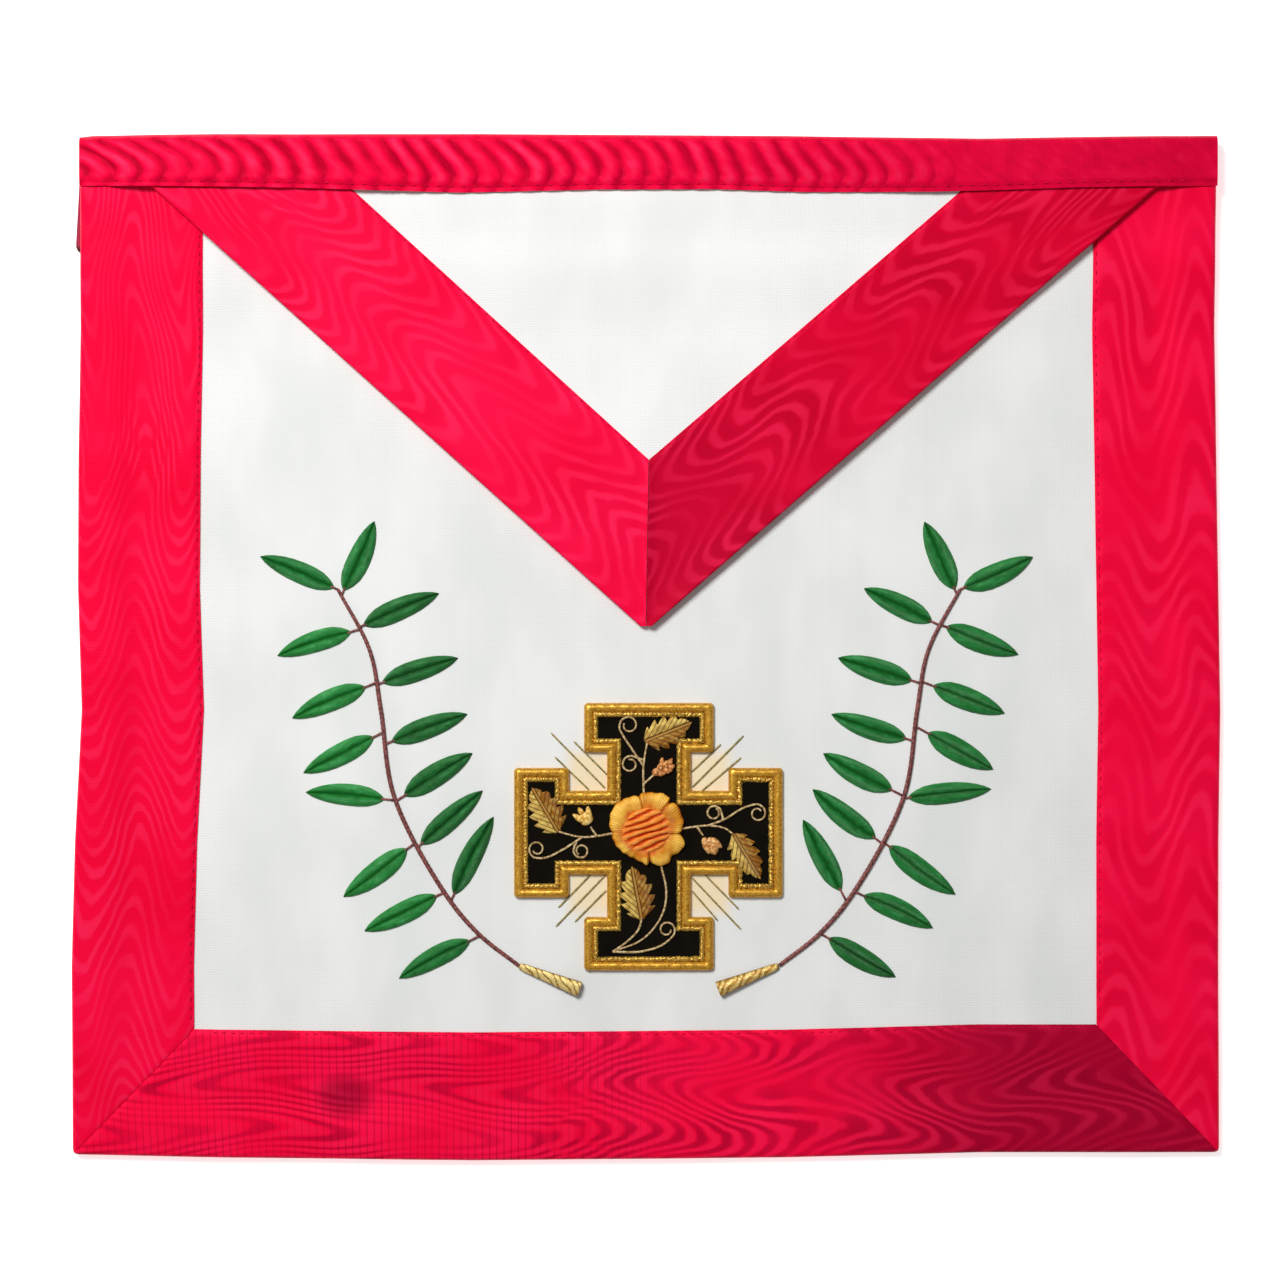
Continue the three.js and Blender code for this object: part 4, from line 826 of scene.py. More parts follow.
def strap(material):
    """The doubled tape behind the top edge, with its fold past the left side."""
    low, high = STRAP_LOW, STRAP_HIGH
    middle = np.linspace(low + 2.2, high - 1.5, 26)
    y = np.r_[low, low + 0.3, low + 1, middle, high - 0.7, high - 0.2, high][None, :]
    tip = left_edge(low) - 2.2 + 2.2 * (y - low) / 40
    tip = tip + corner_inset(y - low, 3.0) + corner_inset(high - y, 2.5)
    right = right_edge(high) - 12
    flat = np.linspace(1, 0, STRAP_POINTS)
    sine = np.r_[np.ones(STRAP_POINTS), np.sin(BEND), -np.ones(STRAP_POINTS)][:, None]
    inward = np.r_[flat, np.zeros(len(BEND)), flat[::-1]][:, None]
    fold = np.r_[0 * flat, 0.6 - 0.6 * np.cos(BEND), 0 * flat][:, None]
    body = np.abs(sine) > 0.999
    x = np.where(body, tip + 0.6 + (right - tip - 0.6) * inward, tip + fold)
    shape = Shape()
    inner = grid(x + 0.5 * np.sqrt(1 - sine**2), y, 0.6 + 0.08 * sine)
    shape.slab(grid(x, y, 0.6 + 0.6 * sine), inner, grid(x, y))
    piece = shape.build("folded_strap", material, "belt_strap", slot="strap_tape")


# The cross's four arms: heading, reach and cap depth as shares of half its span.
CROSS_ARMS = [(0, 0.996, 0.405), (90, 0.966, 0.37), (180, 1.004, 0.41), (270, 1.026, 0.4)]


def cross_corners():
    """The outer corners of the cross, anticlockwise, and the way in from each."""
    corners = []
    half, arm, cap = CROSS_SPAN / 2, CROSS_ARM / 2, CROSS_CAP / 2
    for heading, reach, depth in CROSS_ARMS:
        neck = half * (reach - depth)
        end = half * reach
        local = [(arm, -arm), (neck, -arm), (neck, -cap), (end, -cap), (end, cap), (neck, cap), (neck, arm)]
        corners += [turned(a, b, heading) for a, b in local]
    outline = np.round(np.array(corners), 6) + [CROSS_X, CROSS_Y]
    steps = outline - np.roll(outline, 1, 0), np.roll(outline, -1, 0) - outline
    normals = [np.stack([-w[:, 1], w[:, 0]], 1) / np.linalg.norm(w, axis=1)[:, None] for w in steps]
    return outline, normals[0] + normals[1]


# The radius of the frame's corners, and the share of it that a rounding cuts off at most.
FRAME_RADIUS, MITRE_CUT = 1.2, 0.293


def frame_line(step):
    """Points round the cross's outer edge, the way in at each, and how deep a round corner cuts there."""
    outline, ways = cross_corners()
    spots, inward, cuts = [], [], []
    is_round = np.isin(np.arange(len(outline)) % 7, (2, 3, 4, 5))
    for k in range(len(outline)):
        n = (k + 1) % len(outline)
        length = np.linalg.norm(outline[n] - outline[k])
        s = np.linspace(0, 1, max(int(length / step), 3), endpoint=False)[:, None]
        spots.append(outline[k] + (outline[n] - outline[k]) * s)
        inward.append(ways[k] + (ways[n] - ways[k]) * s)
        from_start = np.where(is_round[k], s * length, FRAME_RADIUS)
        from_end = np.where(is_round[n], (1 - s) * length, FRAME_RADIUS)
        near = np.maximum(np.minimum(from_start, from_end), MITRE_CUT * FRAME_RADIUS)
        cuts.append(corner_inset(near, FRAME_RADIUS))
    return np.vstack(spots), np.vstack(inward), np.vstack(cuts)


def cross_frame(roll_material, bullion_material):
    spots, ways, cuts = frame_line(0.4)
    angle = np.linspace(0, np.pi, 15)
    inset = np.r_[1.65 * (1 - np.cos(angle)), 3.2, 0.05]
    rise = np.r_[0.25 + 2.25 * np.sin(angle) ** 0.7, 0, 0]
    inset = inset + cuts * np.clip(1 - inset / 3, 0, 1)
    flat = spots[:, None] + ways[:, None] * inset[..., None]
    base = cloth(flat[..., 0], flat[..., 1])
    rings = grid(flat[..., 0], flat[..., 1], base + rise[None, :])
    rings[..., 2] += 0.14 * lumps(rings, 2.6, 3) * (rise > 0.4)
    shape = Shape()
    shape.rings(rings, closed=True)
    shape.build("frame_roll", roll_material, "cross_frame", slot="gold_wire", smooth=80)
    spots, ways, _ = frame_line(0.3)
    length, turn = run_length(spots)[:, None], full_turn(12)
    size = 0.92 * (1 + 0.1 * np.cos(2 * turn - 2 * np.pi * length / 1.5))
    flat = spots[:, None] + ways[:, None] * (4.05 + size * np.cos(turn))[..., None]
    rings = grid(flat[..., 0], flat[..., 1], cloth(flat[..., 0], flat[..., 1]) + 1.2 + size * np.sin(turn))
    rough = 0.3 + 0.9 * ease(lumps(rings, 15, 2) + rings[..., 0] / 110, -0.25, 0.35)
    rings[..., 2] += 0.5 * rough * lumps(rings, 0.85, 5) * (np.sin(turn) > -0.2)
    rings[..., :2] += (0.34 * rough * lumps(rings, 0.9, 8))[..., None] * ways[:, None]
    shape = Shape()
    shape.rings(rings, closed=True)
    shape.build("frame_bullion", bullion_material, slot="gold_wire", smooth=80)


def inside_outline(outline, x, y):
    """Which points lie inside a flat outline."""
    inside = np.zeros(x.shape, bool)
    for (ax, ay), (bx, by) in zip(outline, np.roll(outline, -1, 0)):
        if ay != by:
            inside ^= ((ay > y) != (by > y)) & (x < ax + (y - ay) * (bx - ax) / (by - ay))
    return inside


def cross_ground(material):
    """Black velvet on the cells of a grid that lie inside the frame."""
    outline, ways = cross_corners()
    outline = outline + ways * (CROSS_BAND - 0.3)

    def stations(values):
        marks = np.unique(np.round(values, 4))
        cells = zip(marks, marks[1:])
        steps = [np.linspace(a, b, max(int((b - a) / 1.2), 1), endpoint=False) for a, b in cells]
        return np.concatenate([*steps, marks[-1:]])

    xs, ys = stations(outline[:, 0]), stations(outline[:, 1])
    x, y = np.meshgrid(xs, ys)
    size, columns = x.size, len(xs)
    middle_x, middle_y = (x[:-1, :-1] + x[1:, 1:]) / 2, (y[:-1, :-1] + y[1:, 1:]) / 2
    keep = inside_outline(outline, middle_x, middle_y)
    cells = quads(len(ys), columns)[keep.ravel()][:, ::-1]
    edges = np.concatenate([cells[:, [k, (k + 1) % 4]] for k in range(4)])
    known = set(map(tuple, edges.tolist()))
    rim = np.array([edge for edge in edges.tolist() if (edge[1], edge[0]) not in known])
    side = np.stack([rim[:, 1], rim[:, 0], rim[:, 0] + size, rim[:, 1] + size], -1)
    z = cloth(x, y)
    points = np.concatenate([grid(x, y, z + lift).reshape(-1, 3) for lift in (VELVET, 0.02)])
    faces = np.concatenate([cells, cells[:, ::-1] + size, side])
    used, index = np.unique(faces, return_inverse=True)
    shape = Shape()
    shape.add(points[used], index.reshape(faces.shape))
    shape.build("velvet_ground", material, "cross_ground", slot="black_velvet")


def work(x, y):
    """The surface of the velvet, which the raised work lies on."""
    return cloth(x, y) + VELVET


# Each petal's tone of painted light, how far it stands over its neighbours, and its outline: degrees and
# reach.
PETALS = [
    (0.72, 0.25, [(49, 11.8), (53, 13.6), (66, 14.0), (78, 13.3), (90, 13.2), (98, 12.8), (104, 11.6)]),
    (0.5, 0.6, [(-9, 10.8), (-4, 11.8), (12, 13.3), (27, 13.5), (42, 13.8), (51, 12.0)]),
    (0.8, 0.2, [
        (-84, 10.6), (-79, 11.8), (-69, 13.2), (-56, 13.8), (-45, 12.8),
        (-31, 14.0), (-16, 13.9), (-7, 11.9), (-3, 11),
    ]),
    (0.62, 0.45, [
        (-180, 11.4), (-174, 12.0), (-158, 11.9), (-138, 11.2), (-113, 10.8),
        (-97, 11.4), (-88, 12.0), (-83, 10.6),
    ]),
    (0.92, 0.75, [(99, 11.4), (105, 12.3), (128, 13.4), (147, 13.8), (167, 13.1), (179, 12.5), (186, 11.4)]),
]


def rose(petal_material, heart_material):
    shape = Shape()
    tones = []
    for k, (tone, lap, outline) in enumerate(PETALS):
        degrees, reaches = np.transpose(outline)
        fine = smooth_line(np.column_stack([degrees, reaches]), 0.5)
        share = np.linspace(0, 1, 56)[None, :]
        bearing = degrees[0] + (degrees[-1] - degrees[0]) * share
        wide = np.interp(bearing, fine[:, 0], fine[:, 1])
        turn = np.radians(bearing)
        wide = wide + 0.12 * np.sin(turn * 23 + 2 * k)
        out = np.r_[0, np.linspace(0.08, 0.94, 17), 0.985, 1][:, None]
        radius = PETAL_ROOT + (wide - PETAL_ROOT) * out
        x, y = ROSE_X + radius * np.cos(turn), ROSE_Y + radius * np.sin(turn)
        side = np.minimum(share, 1 - share) * (degrees[-1] - degrees[0]) * np.radians(1) * radius
        dip = 1 - ease(side, 0, 1.3)
        cup = 0.95 + 1.3 * np.sin(np.pi * np.clip(out * 0.74 + 0.1, 0, 1)) - 0.75 * out**9
        crimp = 0.1 * np.sin(turn * 26 + k + out * 3) * out + 0.36 * np.sin(turn * 7 + k * 2) * out
        z = work(x, y) + cup + crimp + lap * (0.5 + 0.5 * out) - 0.55 * dip * out
        under = np.maximum(z - 0.9 - 1.2 * (1 - out), work(x, y))
        shape.slab(grid(x, y, z), grid(x, y, under), grid(turn * 10, radius))
        # Painted light on each petal: its own lit tone, painted shade and highlight along its crimps, a
        # painted highlight near its rim, and painted shade in the creases between petals and at its edge.
        fold_light = 0.28 * np.sin(turn * 7 + k * 2) * out + 0.3 * np.exp(-(((out - 0.82) / 0.13) ** 2))
        tones.append(np.tile(((tone + fold_light - 0.12) * (1 - 0.85 * dip) - 0.3 * (out > 0.96)).ravel(), 2))
    shape.crest = np.concatenate(tones)
    shape.build("rose_silk_petals", petal_material, "rose_petals", slot="yellow_silk", smooth=70)
    shape = Shape()
    a = np.linspace(-1, 1, 49)[:, None]
    b = np.linspace(-0.985, 0.985, 85)[None, :]
    chord = np.sqrt(1 - b**2)
    along, across = a * chord * 9.2, b * 7.9 + 0 * a
    wavy = across + 0.34 * np.sin(along * 0.36 + across * 0.55) + 0.09 * np.sin(along * 1.1 + 2 * across)
    ridge = np.abs(np.cos(np.pi * wavy / STRAND)) ** 0.6
    dome = np.sqrt(np.clip(1 - a**2, 0, 1) ** 0.8 * chord**1.2)
    dx, dy = turned(along, across, 20)
    x, y = ROSE_X + dx, ROSE_Y + dy
    base = work(x, y) + 0.9
    z = base + 0.3 + dome * (1.3 + 1.6 * ridge)
    shape.slab(grid(x, y, z), grid(x, y, base), grid(along, wavy / STRAND + 0.25))
    shape.build("rose_silk_heart", heart_material, "rose_heart", slot="orange_silk", smooth=80)


# How wide a leaf is along its length, as a share.
LEAF_AT = [0, 0.04, 0.1, 0.2, 0.33, 0.46, 0.6, 0.73, 0.84, 0.93, 1]
LEAF_WIDE = [0.07, 0.34, 0.6, 0.87, 0.99, 1, 0.94, 0.8, 0.59, 0.34, 0.03]
# Across one half of a leaf, from its middle to its edge: where, and how tall.
HALF_AT = [0, 0.08, 0.22, 0.42, 0.62, 0.8, 0.93, 1]
HALF_TALL = [0.42, 0.6, 0.9, 1, 0.95, 0.72, 0.42, 0.12]


def leaf(shape, base, tip, width, height, level, teeth=0, bend=0.0, rows=44):
    """A leaf in two padded halves. "level" gives the height of what it lies on."""
    base, tip = np.array(base, float), np.array(tip, float)
    way = tip - base
    length = np.linalg.norm(way)
    way /= length
    side = np.array([-way[1], way[0]])
    t = np.linspace(0, 1, rows)[:, None]
    c = np.array([-at for at in HALF_AT[:0:-1]] + HALF_AT)[None, :]
    wide = np.interp(t, LEAF_AT, LEAF_WIDE)
    if teeth:
        saw = (t * teeth + 0.15 * np.sign(c)) % 1
        wide = wide * (1.08 - 0.42 * (1 - saw) ** 1.6 * np.abs(c) ** 2)
    off = c * wide * width / 2 + bend * np.sin(np.pi * t)
    run = t * length - (teeth > 0) * np.abs(c) * 0.6
    x = base[0] + way[0] * run + side[0] * off
    y = base[1] + way[1] * run + side[1] * off
    tall = np.interp(np.abs(c), HALF_AT, HALF_TALL)
    tall = tall * np.interp(t, [0, 0.1, 0.3, 0.7, 0.9, 1], [0.35, 0.7, 1, 1, 0.75, 0.3])
    floor = level(x, y)
    uvs = grid(run, c * wide * width / 2)
    shape.slab(grid(x, y, floor + height * tall), grid(x, y, floor - 0.02), uvs)
    # Each point's painted light for the crest layer: 0 on one half of the leaf, 1 on the other.
    return np.tile((0.5 + 0.5 * np.clip(c * 4, -1, 1) + 0 * x).ravel(), 2)


# The line of a branch, and its leaves: along the stem, heading, petiole and length.
BRANCH_LINE = [(0, 0), (0.225, 0.0855), (0.413, 0.195), (0.69, 0.45), (0.763, 0.678), (0.825, 0.838), (1, 1)]
BRANCH_LEAVES = {
    "left": [
        (0.999, 23, 0.055, 1.02), (0.984, 114, 0.075, 0.96), (0.9, 157, 0.06, 1.04),
        (0.895, -18, 0.124, 0.98), (0.759, 162, 0.07, 1.01), (0.765, -23, 0.157, 1.01),
        (0.619, 160, 0.095, 1.02), (0.649, -27, 0.142, 1), (0.484, 148, 0.128, 1.02),
        (0.487, 5, 0.142, 1), (0.366, 139, 0.06, 1.04), (0.377, -37, 0.124, 1.01),
        (0.219, 117, 0.095, 1.11), (0.245, -26, 0.106, 1.02), (0.114, -28, 0.146, 1.02),
    ],
    "right": [
        (0.985, 114, 0.075, 0.94), (1, 24, 0.055, 0.96), (0.904, 154, 0.109, 0.96),
        (0.906, -21, 0.084, 0.98), (0.762, 163, 0.12, 0.98), (0.768, -21, 0.164, 0.97),
        (0.627, 162, 0.095, 1), (0.662, -29, 0.186, 0.95), (0.497, 152, 0.168, 0.99),
        (0.492, 6, 0.062, 1.06), (0.376, 142, 0.117, 1.01), (0.38, -36, 0.088, 1.04),
        (0.217, 118, 0.164, 1.02), (0.247, -25, 0.131, 0.97), (0.122, -30, 0.131, 0.98),
    ],
}
FOOT_X, FOOT_Y, REACH, RISE, LEAF_LENGTH = 45.3, -110.8, 63.0, 131.0, 27.4
# A handle's length, and its width from the stem to its end.
HANDLE_LENGTH = 22.6
HANDLE = [0, 0.02, 0.1, 0.4, 0.93, 0.975, 0.995, 1], [1.6, 2.3, 2.8, 3.6, 5.3, 5.5, 5.3, 4.6]


def branch(side, name, greens, brown, gilt):
    line = [(CROSS_X + side * (FOOT_X + REACH * a), FOOT_Y + RISE * b) for a, b in BRANCH_LINE]
    line = smooth_line(line, 0.35)
    stem = Shape()
    taper = np.interp(np.linspace(0, 1, len(line)), [0, 0.2, 0.75, 1], [0.68, 0.8, 0.74, 0.58])
    stem.tube(laid(line, 0.5), taper, sides=10, flat=0.85, twist=3.4, depth=0.06)
    chance = np.random.default_rng(3 + side)
    for number, (along, heading, petiole, length) in enumerate(BRANCH_LEAVES[name], 1):
        joint = line[min(int(round(along * (len(line) - 1))), len(line) - 1)]
        way = compass(heading) * [side, 1]
        base = joint + way * petiole * LEAF_LENGTH
        tip = base + way * length * LEAF_LENGTH
        blade = Shape()
        leaf(blade, base, tip, 7.8 * chance.uniform(0.94, 1.06), 1.35, cloth, bend=chance.uniform(-0.7, 0.7))
        node = f"leaf_{name}_{number:02d}"
        # Which copy of the green silk: painted sheen by the leaf's heading, and an alternating tone by its
        # number.
        shade = number % 2 + (way[0] > 0)
        blade.build("satin_" + node, greens[shade], node, slot="green_silk")
        stalk = resample(np.array([joint, base + way * 1.2]), 0.4)
        taper = np.linspace(0.44, 0.34, len(stalk))
        stem.tube(laid(stalk, 0.45), taper, flat=0.8, twist=2.4, depth=0.08)
    stem.build("corded_stem_" + name, brown, "stem_" + name, slot="brown_thread", smooth=80)
    handle(side, name, line[0], gilt)


def handle(side, name, foot, material):
    """A gold handle, wrapped with thread at a slant."""
    way = compass(21) * [-side, -1]
    across = np.array([-way[1], way[0]])
    at = np.r_[np.linspace(0, 0.95, 150), 0.965, 0.98, 0.99, 1][:, None]
    size = np.interp(at, *HANDLE)
    turn = full_turn(28)
    run = at * HANDLE_LENGTH
    wrap = (run - side * 1.3 * size / 2 * np.cos(turn)) / 3.4 + 0.2 * np.sin(run * 0.9)
    groove = 0.05 if side < 0 else 0.02
    size = size * (1 - groove + groove * np.abs(np.sin(np.pi * wrap)) ** 0.6)
    x, y = (foot + way * 0.2)[:, None, None] + way[:, None, None] * run
    z = cloth(x, y) + 0.05 + np.maximum(0.3 * size * (1 + np.sin(turn)), 0)
    off = size / 2 * np.cos(turn)
    shape = Shape()
    shape.rings(grid(x + across[0] * off, y + across[1] * off, z), uvs=grid(wrap, np.sin(turn)))
    shape.build("wrapped_handle_" + name, material, "handle_" + name, slot="gold_wire", smooth=80)


# What grows on the velvet, in hundredths of the cross's span from its middle.
# Each vine's name, heading, the half of its leaf that gets painted light, leaf from base to tip and its
# width, bud, and strands.
# A strand has its points, and may end in a curl: centre, inner radius and the way it turns.
VINES = [
    ("top", 94, 1, (-1.2, 34.2, 16.2, 41.2, 10.4), (5.2, 24.4), [
        ([(-2, 24.7), (-0.6, 34)], None),
        ([(-2.1, 25), (-6.3, 31.1), (-10.6, 38)], (-7.4, 40, 1.9, -1)),
        ([(-2, 27), (-5, 28.1)], (-7, 25.4, 1.8, 1)),
        ([(-1.8, 18.3), (0.8, 20.6), (3.0, 22.6)], None),
    ]),
    ("left", 186, 1, (-33.9, 0.6, -43.6, 17.0, 11.4), (-24.6, 6), [
        ([(-24.8, -1.6), (-33.5, 0.4)], None),
        ([(-24.8, -1.6), (-31.9, -6.2), (-38.3, -9.2), (-42.4, -9.2)], (-41.6, -6, 1.6, -1)),
        ([(-27, -3.4), (-28, -6.6)], (-25.1, -6.7, 1.7, 1)),
        ([(-19.5, -1.1), (-21.7, 2.2)], None),
    ]),
    ("right", 2, -1, (31.6, -0.8, 41.6, -17.4, 9.4), (23, -5), [
        ([(22.2, 2.7), (28.4, 1.6), (31.2, -0.4)], None),
        ([(22.2, 2.7), (28.6, 5.3), (35, 9.2), (40.2, 10.6)], (40.4, 7.2, 1.6, -1)),
        ([(27.6, 4.9), (26.9, 7.8)], (24.1, 7.4, 1.8, 1)),
        ([(17.9, 2.1), (20.2, -1)], None),
    ]),
    ("bottom", -66, 1, (-2.7, -31.8, -6.4, -12.2, 11.4), None, [
        ([(6.5, -22.2), (4.6, -31.2), (-2.4, -39.6), (-13.5, -44.2)], None),
        ([(-2.7, -31.8), (-3.8, -35.8), (-7.6, -40), (-13.5, -44.2)], None),
        ([(-13.5, -44.2), (-3.3, -44.2), (4.4, -42), (8.6, -38.8)], (6.6, -36.0, 1.6, 1)),
    ]),
]


def on_cross(x, y):
    return np.array([CROSS_X + x * CROSS_SPAN / 100, CROSS_Y + y * CROSS_SPAN / 100])


# How many degrees a tendril's curl turns.
CURL_TURN = 415


def strand_line(points, curl):
    """The points of a vine's strand, with its curl."""
    line = [on_cross(*p) for p in points]
    if curl:
        x, y, end, turn = curl
        centre = on_cross(x, y)
        start = line[-1] - centre
        angle, radius = np.degrees(np.arctan2(start[1], start[0])), np.linalg.norm(start)
        for share in np.linspace(0, 1, 18)[1:]:
            reach = radius + (end * CROSS_SPAN / 100 - radius) * share**0.75
            line.append(centre + reach * compass(angle + turn * share * CURL_TURN))
    return line


def egg(shape, centre, heading, length, width, height):
    """A low egg-shaped pad of silk, wider at its foot."""
    turn = full_turn(18)
    section = np.array([[1, 0], [1, 0.25], [0.94, 0.55], [0.78, 0.82], [0.5, 0.97], [0.2, 1.0]])
    along = length / 2 * np.cos(turn) * section[:, :1]
    across = width / 2 * (1 - 0.28 * np.cos(turn)) * np.sin(turn) * section[:, :1]
    dx, dy = turned(along, across, heading)
    z = work(*centre) + 0.05 + height * section[:, 1:]
    shape.rings(grid(centre[0] + dx, centre[1] + dy, z), uvs=grid(along, across))


# The silk pads of each bud: offset from its middle, heading, length, width, height.
BUDS = {
    "top": [
        (-2.0, -1.4, 40, 4.0, 2.6, 1.7), (-0.4, -2.0, 10, 3.6, 2.2, 1.5), (1.6, -1.2, 5, 3.6, 2.2, 1.7),
        (3.0, 0.1, 30, 2.8, 1.9, 1.5), (-0.8, 0.3, 70, 3.2, 2.2, 1.9), (0.9, 0.9, 60, 3.4, 2.2, 1.7),
        (2.6, 1.9, 60, 2.8, 1.7, 1.5), (-0.3, 2.1, 85, 2.8, 1.7, 1.5),
    ],
    "left": [
        (1.07, -0.6, 124, 4.9, 4.6, 1.4), (2.0, 0.8, 94, 5.8, 2.5, 1.8), (-1.5, -0.5, 146, 5.0, 2.2, 1.8),
        (-0.8, 2.0, 124, 2.8, 1.9, 1.6),
    ],
    "right": [
        (0.2, 0.0, -55, 6.4, 5.2, 1.5), (-1.5, 0.2, -72, 6.2, 2.6, 1.8), (1.9, 1.1, -38, 5.2, 2.5, 1.8),
        (0.7, -1.2, -62, 4.2, 2.2, 2.1),
    ],
}


def bud(name, x, y, material, slot):
    """Each bud is a few pads of silk: a cup of petals, or a cluster."""
    centre = on_cross(x, y)
    shape = Shape()
    for dx, dy, heading, length, width, height in BUDS[name]:
        egg(shape, centre + [dx, dy], heading, length, width, height)
    shape.build("silk_bud_" + name, material, "cross_bud_" + name, slot=slot, smooth=80)


def vines(thread, leaf_material, bud_materials):
    for name, heading, bright, (x, y, tip_x, tip_y, width), bud_place, strands in VINES:
        shape = Shape()
        for index, (points, curl) in enumerate(strands):
            line = strand_line(points, curl)
            if index == 0:
                line.insert(0, compass(heading) * ROSE_RADIUS * 0.9 + [ROSE_X, ROSE_Y])
            line = smooth_line(line, 0.22)
            level = work(line[:, 0], line[:, 1]) + 0.36 + 0.12 * (index % 2)
            taper = np.linspace(0.43, 0.32, len(line))
            shape.tube(np.column_stack([line, level]), taper, twist=1.3, depth=0.1)
        shape.build("twisted_vine_" + name, thread, "vine_" + name, slot="vine_thread", smooth=80)
        blade = Shape()
        width = width * CROSS_SPAN / 100 * 1.08
        tone = leaf(blade, on_cross(x, y), on_cross(tip_x, tip_y), width, 1.45, work, teeth=5, rows=90)
        # The half of the leaf with painted light, and the other half in painted shade.
        blade.crest = tone if bright > 0 else 1 - tone
        blade.build("silk_leaf_" + name, leaf_material, "cross_leaf_" + name, slot="pale_silk", smooth=70)
        if bud_place:
            slot = "pale_silk" if name == "left" else "pink_silk"
            bud(name, *bud_place, bud_materials[name], slot)


# The rays in the corners of the cross: outer end, inner end.
RAYS = [
    ((-33.2, -29.7), (-14.3, -49.0)), ((-25.2, -32.7), (-13.5, -44.4)), ((-31.8, -38.1), (-19.9, -49.6)),
    ((34.0, -30.7), (16.1, -48.7)), ((26.1, -33.7), (15.8, -43.4)), ((33.1, -38.4), (19.4, -50.0)),
    ((-31.5, -97.3), (-14.2, -79.3)), ((-30.5, -90.6), (-19.5, -79.3)), ((-24.8, -95.6), (-13.9, -84.6)),
    ((33.1, -98.3), (15.8, -80.0)), ((32.4, -91.3), (20.4, -79.0)), ((25.1, -95.3), (16.1, -84.9)),
]


def rays(material):
    shape = Shape()
    for outer, inner in RAYS:
        line = resample(np.array([outer, inner]), 0.45)
        size = np.interp(np.linspace(0, 1, len(line)), [0, 0.04, 0.96, 1], [0.12, 0.3, 0.3, 0.2])
        shape.tube(laid(line, 0.22), size, twist=1.6, depth=0.15)
    shape.build("ray_threads", material, slot="vine_thread", smooth=80)


def stitch_row(shape, line, surface, lift, pitch=3.2, long=1.7, thick=0.2):
    """Running stitches along a line, sunk a little into what lies at a lift above a surface."""
    line = resample(np.asarray(line, float), 0.4)
    arch = np.array([-0.15, 0.08, 0.16, 0.16, 0.08, -0.15])
    size = thick * np.array([0.6, 1, 1, 1, 1, 0.6])
    for start in np.arange(1, run_length(line)[-1] - long, pitch):
        spots = spots_at(line, np.linspace(start, start + long, 6))
        z = surface(*spots.T) + lift + arch
        shape.tube(np.column_stack([spots, z]), size, sides=6)


def waist_front(x, y):
    return under_waist(x) + WAIST_LIFT + PUCKER * waist_puckers(x, waist_share(x, y))[0]


def stitches(material):
    shape = Shape()
    y = np.linspace(BOTTOM + 48, 150, 60)
    for edge, side in ((left_edge, 1), (right_edge, -1)):
        line = np.column_stack([edge(y) + side * (SIDE_RIBBON - STITCH_INSET), y])
        stitch_row(shape, line, cloth, RIBBON_LIFT - STITCH_SINK)
    x = np.linspace(-152, 152, 60)
    line = np.column_stack([x, bottom_edge(x) + BOTTOM_RIBBON - STITCH_INSET])
    stitch_row(shape, line, cloth, RIBBON_LIFT - STITCH_SINK)
    y = np.linspace(SEAM_APEX + 4, 156, 40)
    for side in (-1, 1):
        line = np.column_stack([flap_seam(y, side) + side * STITCH_INSET, y])
        stitch_row(shape, line, flap_under, FLAP_LIFT - STITCH_SINK)
    shape.build("ribbon_stitches", material, slot="red_ribbon", smooth=80)
    shape = Shape()
    x = np.linspace(-190, 188, 300)
    line = np.column_stack([x, top_edge(x) - WAIST_STITCH * waist_height(x) / WAIST_RIBBON])
    stitch_row(shape, line, waist_front, -0.4, pitch=4.3, long=1.8, thick=0.24)
    shape.build("waistband_stitches", material, slot="red_ribbon", smooth=80)


white = white_cloth("white_cloth", "#e4e6e3", "#efefed", cream=True)
panel(white)
side_border(-1, "folded_border_left", "border_left", watered_silk(
    "red_ribbon_left", 1, ("#f00534", "#f80a40"), 20, 9.0, 16, 0.42, long=(20, 120, 15, 46),
))
side_border(1, "folded_border_right", "border_right", watered_silk(
    "red_ribbon_right", 4, ("#f50638", "#fd0d43"), 22, 14.0, -15, 0.3, dark=0.16,
))
# The bottom ribbon's dusk is painted shade towards its right end.
bottom_border(watered_silk(
    "red_ribbon_bottom", 2, ("#f8073a", "#ff1146"), 23.4, 9.5, -18, 0.2, dark=0.6,
    ribs=(40, -50, 0.5), long=(10, -60, 26, -62), dusk=(40, 135, 0.72), darkened=(-104.7, 22),
))
# The flap's cloth is a lighter copy of the white cloth: painted light.
flap_panel(white_cloth("flap_cloth", "#ecedeb", "#f4f4f3"))
flap_ribbon(-1, "folded_flap_ribbon_left", "flap_ribbon_left", watered_silk(
    "red_ribbon_flap_left", 3, ("#f5083c", "#fd1147"), 21, 11.0, -14, 0.45, dark=0.1,
    long=(60, 10, 16, -40),
))
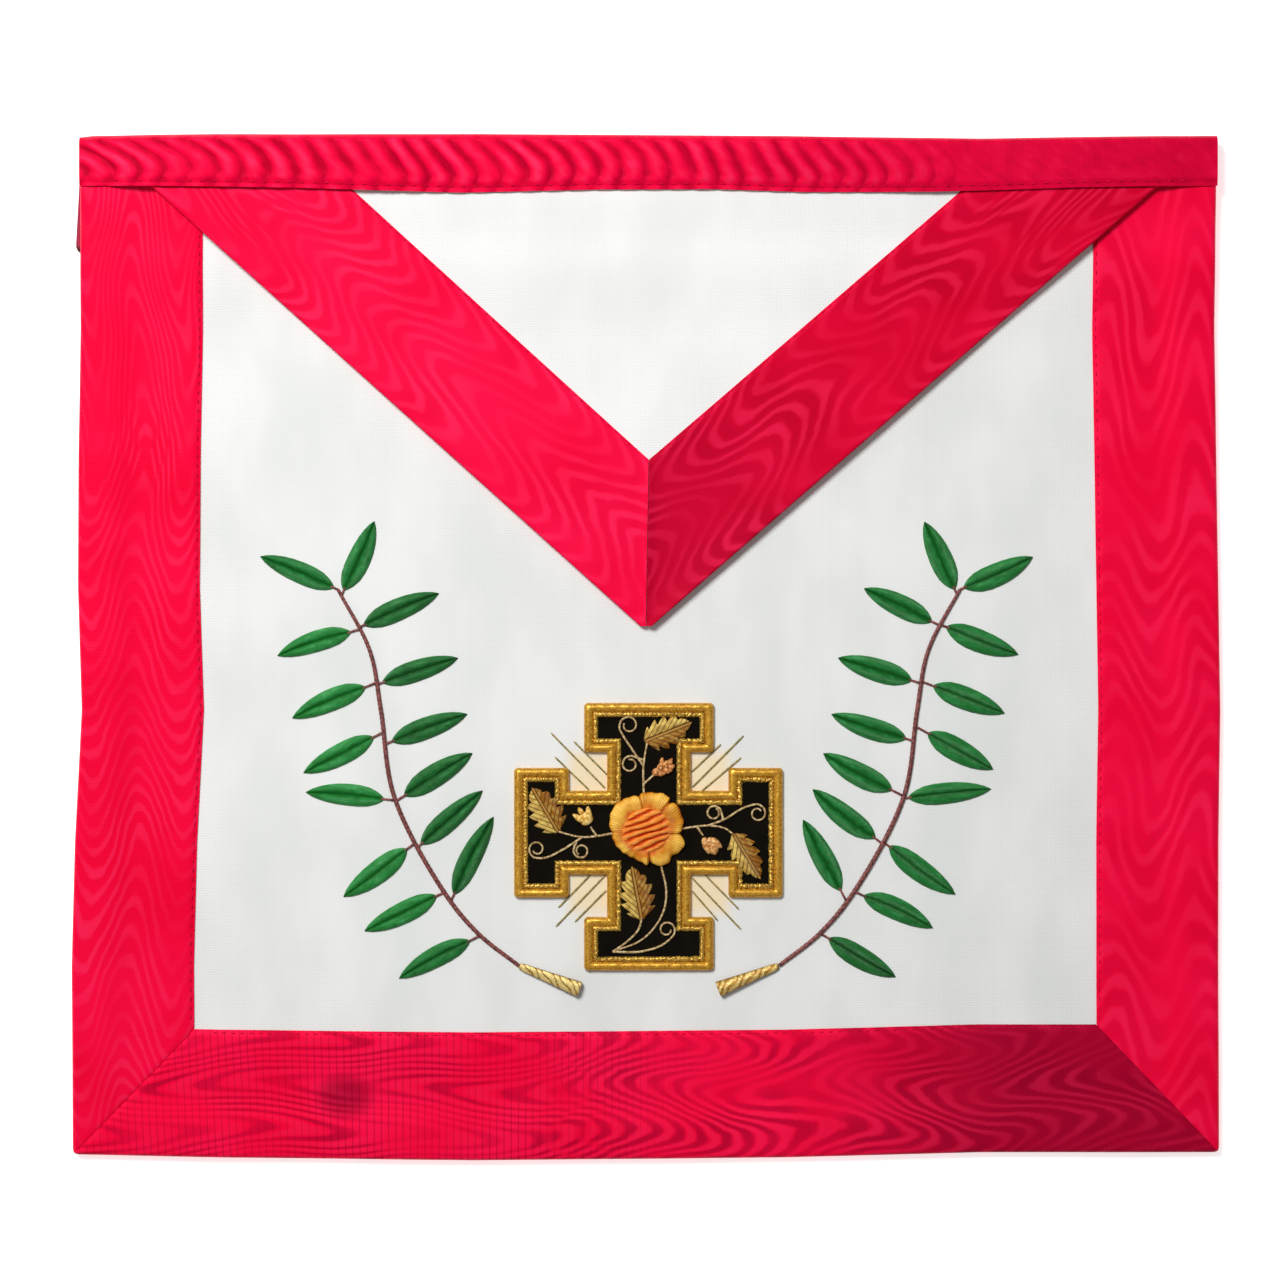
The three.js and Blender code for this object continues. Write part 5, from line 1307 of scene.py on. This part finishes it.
# The right flap ribbon is a darker copy of the red silk, painted shade, with more painted shade towards its
# tip.
flap_ribbon(1, "folded_flap_ribbon_right", "flap_ribbon_right", watered_silk(
    "red_ribbon_flap_right", 5, ("#d0032a", "#e40836"), 21, 11.0, -14, 0.32, dark=0.24,
    long=(70, 15, 16, -40), dusk=(120, 215, 0.32),
))
waistband(gathered_silk())
strap(tape_cloth())
cross_ground(velvet())
cross_frame(
    gold("gold_roll", "#a8660e", "#efb840", 1.6),
    # The bullion's colours are darkened: painted shade from the roll beside it.
    gold("gold_bullion", "#5e3204", "#efc050", 2.0, rough=0.3, depth=0.22),
)
rose(petal_silk(), heart_silk())
vines(
    plain_thread("vine_thread", "#8e6a34", "#dec492"),
    veined_silk("pale_silk_leaf", "#a46618", "#ffdc74", "#4a2a08"),
    {
        "top": plain_thread("copper_silk", "#a0561c", "#ecaa66", 0.4, 0.3),
        "left": plain_thread("cream_silk", "#d6982a", "#fcde8c", 0.4, 0.3),
        "right": plain_thread("pink_silk", "#b87230", "#f0c07c", 0.4, 0.3),
    },
)
# Copies of the green silk from lit to shaded: painted sheen by a leaf's heading, and a tone that alternates
# from leaf to leaf.
greens = [
    thread_silk("green_silk_lit", "#0c6a1e", "#218a3a", "#62bf78"),
    thread_silk("green_silk_half_lit", "#0a5e1c", "#1e7e36", "#4fae66"),
    thread_silk("green_silk_shaded", "#085018", "#1c702e", "#46985a"),
]
brown, gilt = plain_thread("brown_thread", "#4e1a1a", "#94504a"), wrapped_gold()
for side, name in ((-1, "left"), (1, "right")):
    branch(side, name, greens, brown, gilt)
rays(plain_thread("ray_thread", "#6e6a34", "#b09a56"))
stitches(plain_thread("stitch_thread", "#b80630", "#e01040", 0.8, 0.05))

# A pale floor and soft light from the upper left.
bpy.ops.mesh.primitive_plane_add(size=6, location=(0, 0, -0.0006))
floor = bpy.context.object
floor.name = "floor"
glow = {"Emission_Color": "#ffffff", "Emission_Strength": 0.62}
floor.data.materials.append(Graph("floor_paper", Roughness=0.9, Base_Color="#f4f4f4", **glow).material)

world = bpy.data.worlds.new("studio")
world.use_nodes = True
background = world.node_tree.nodes["Background"].inputs
background["Color"].default_value = (1, 1, 1, 1)
background["Strength"].default_value = 0.25
bpy.context.scene.world = world

key_light = bpy.data.lights.new("key", "AREA")
key_light.size = 0.45
key_light.energy = 19.6
key = bpy.data.objects.new("key", key_light)
key.location = (-0.5, 0.68, 1.2)
key.rotation_euler = (Vector((-0.1, 0.1, 0)) - key.location).to_track_quat("-Z", "Y").to_euler()
bpy.context.collection.objects.link(key)

lens = bpy.data.cameras.new("camera")
lens.lens = 100
lens.sensor_width = 36
camera = bpy.data.objects.new("camera", lens)
camera.location = (-0.0021, 0.0026, 1.2405)
bpy.context.collection.objects.link(camera)
bpy.context.scene.camera = camera
bpy.context.scene.view_settings.view_transform = "Standard"
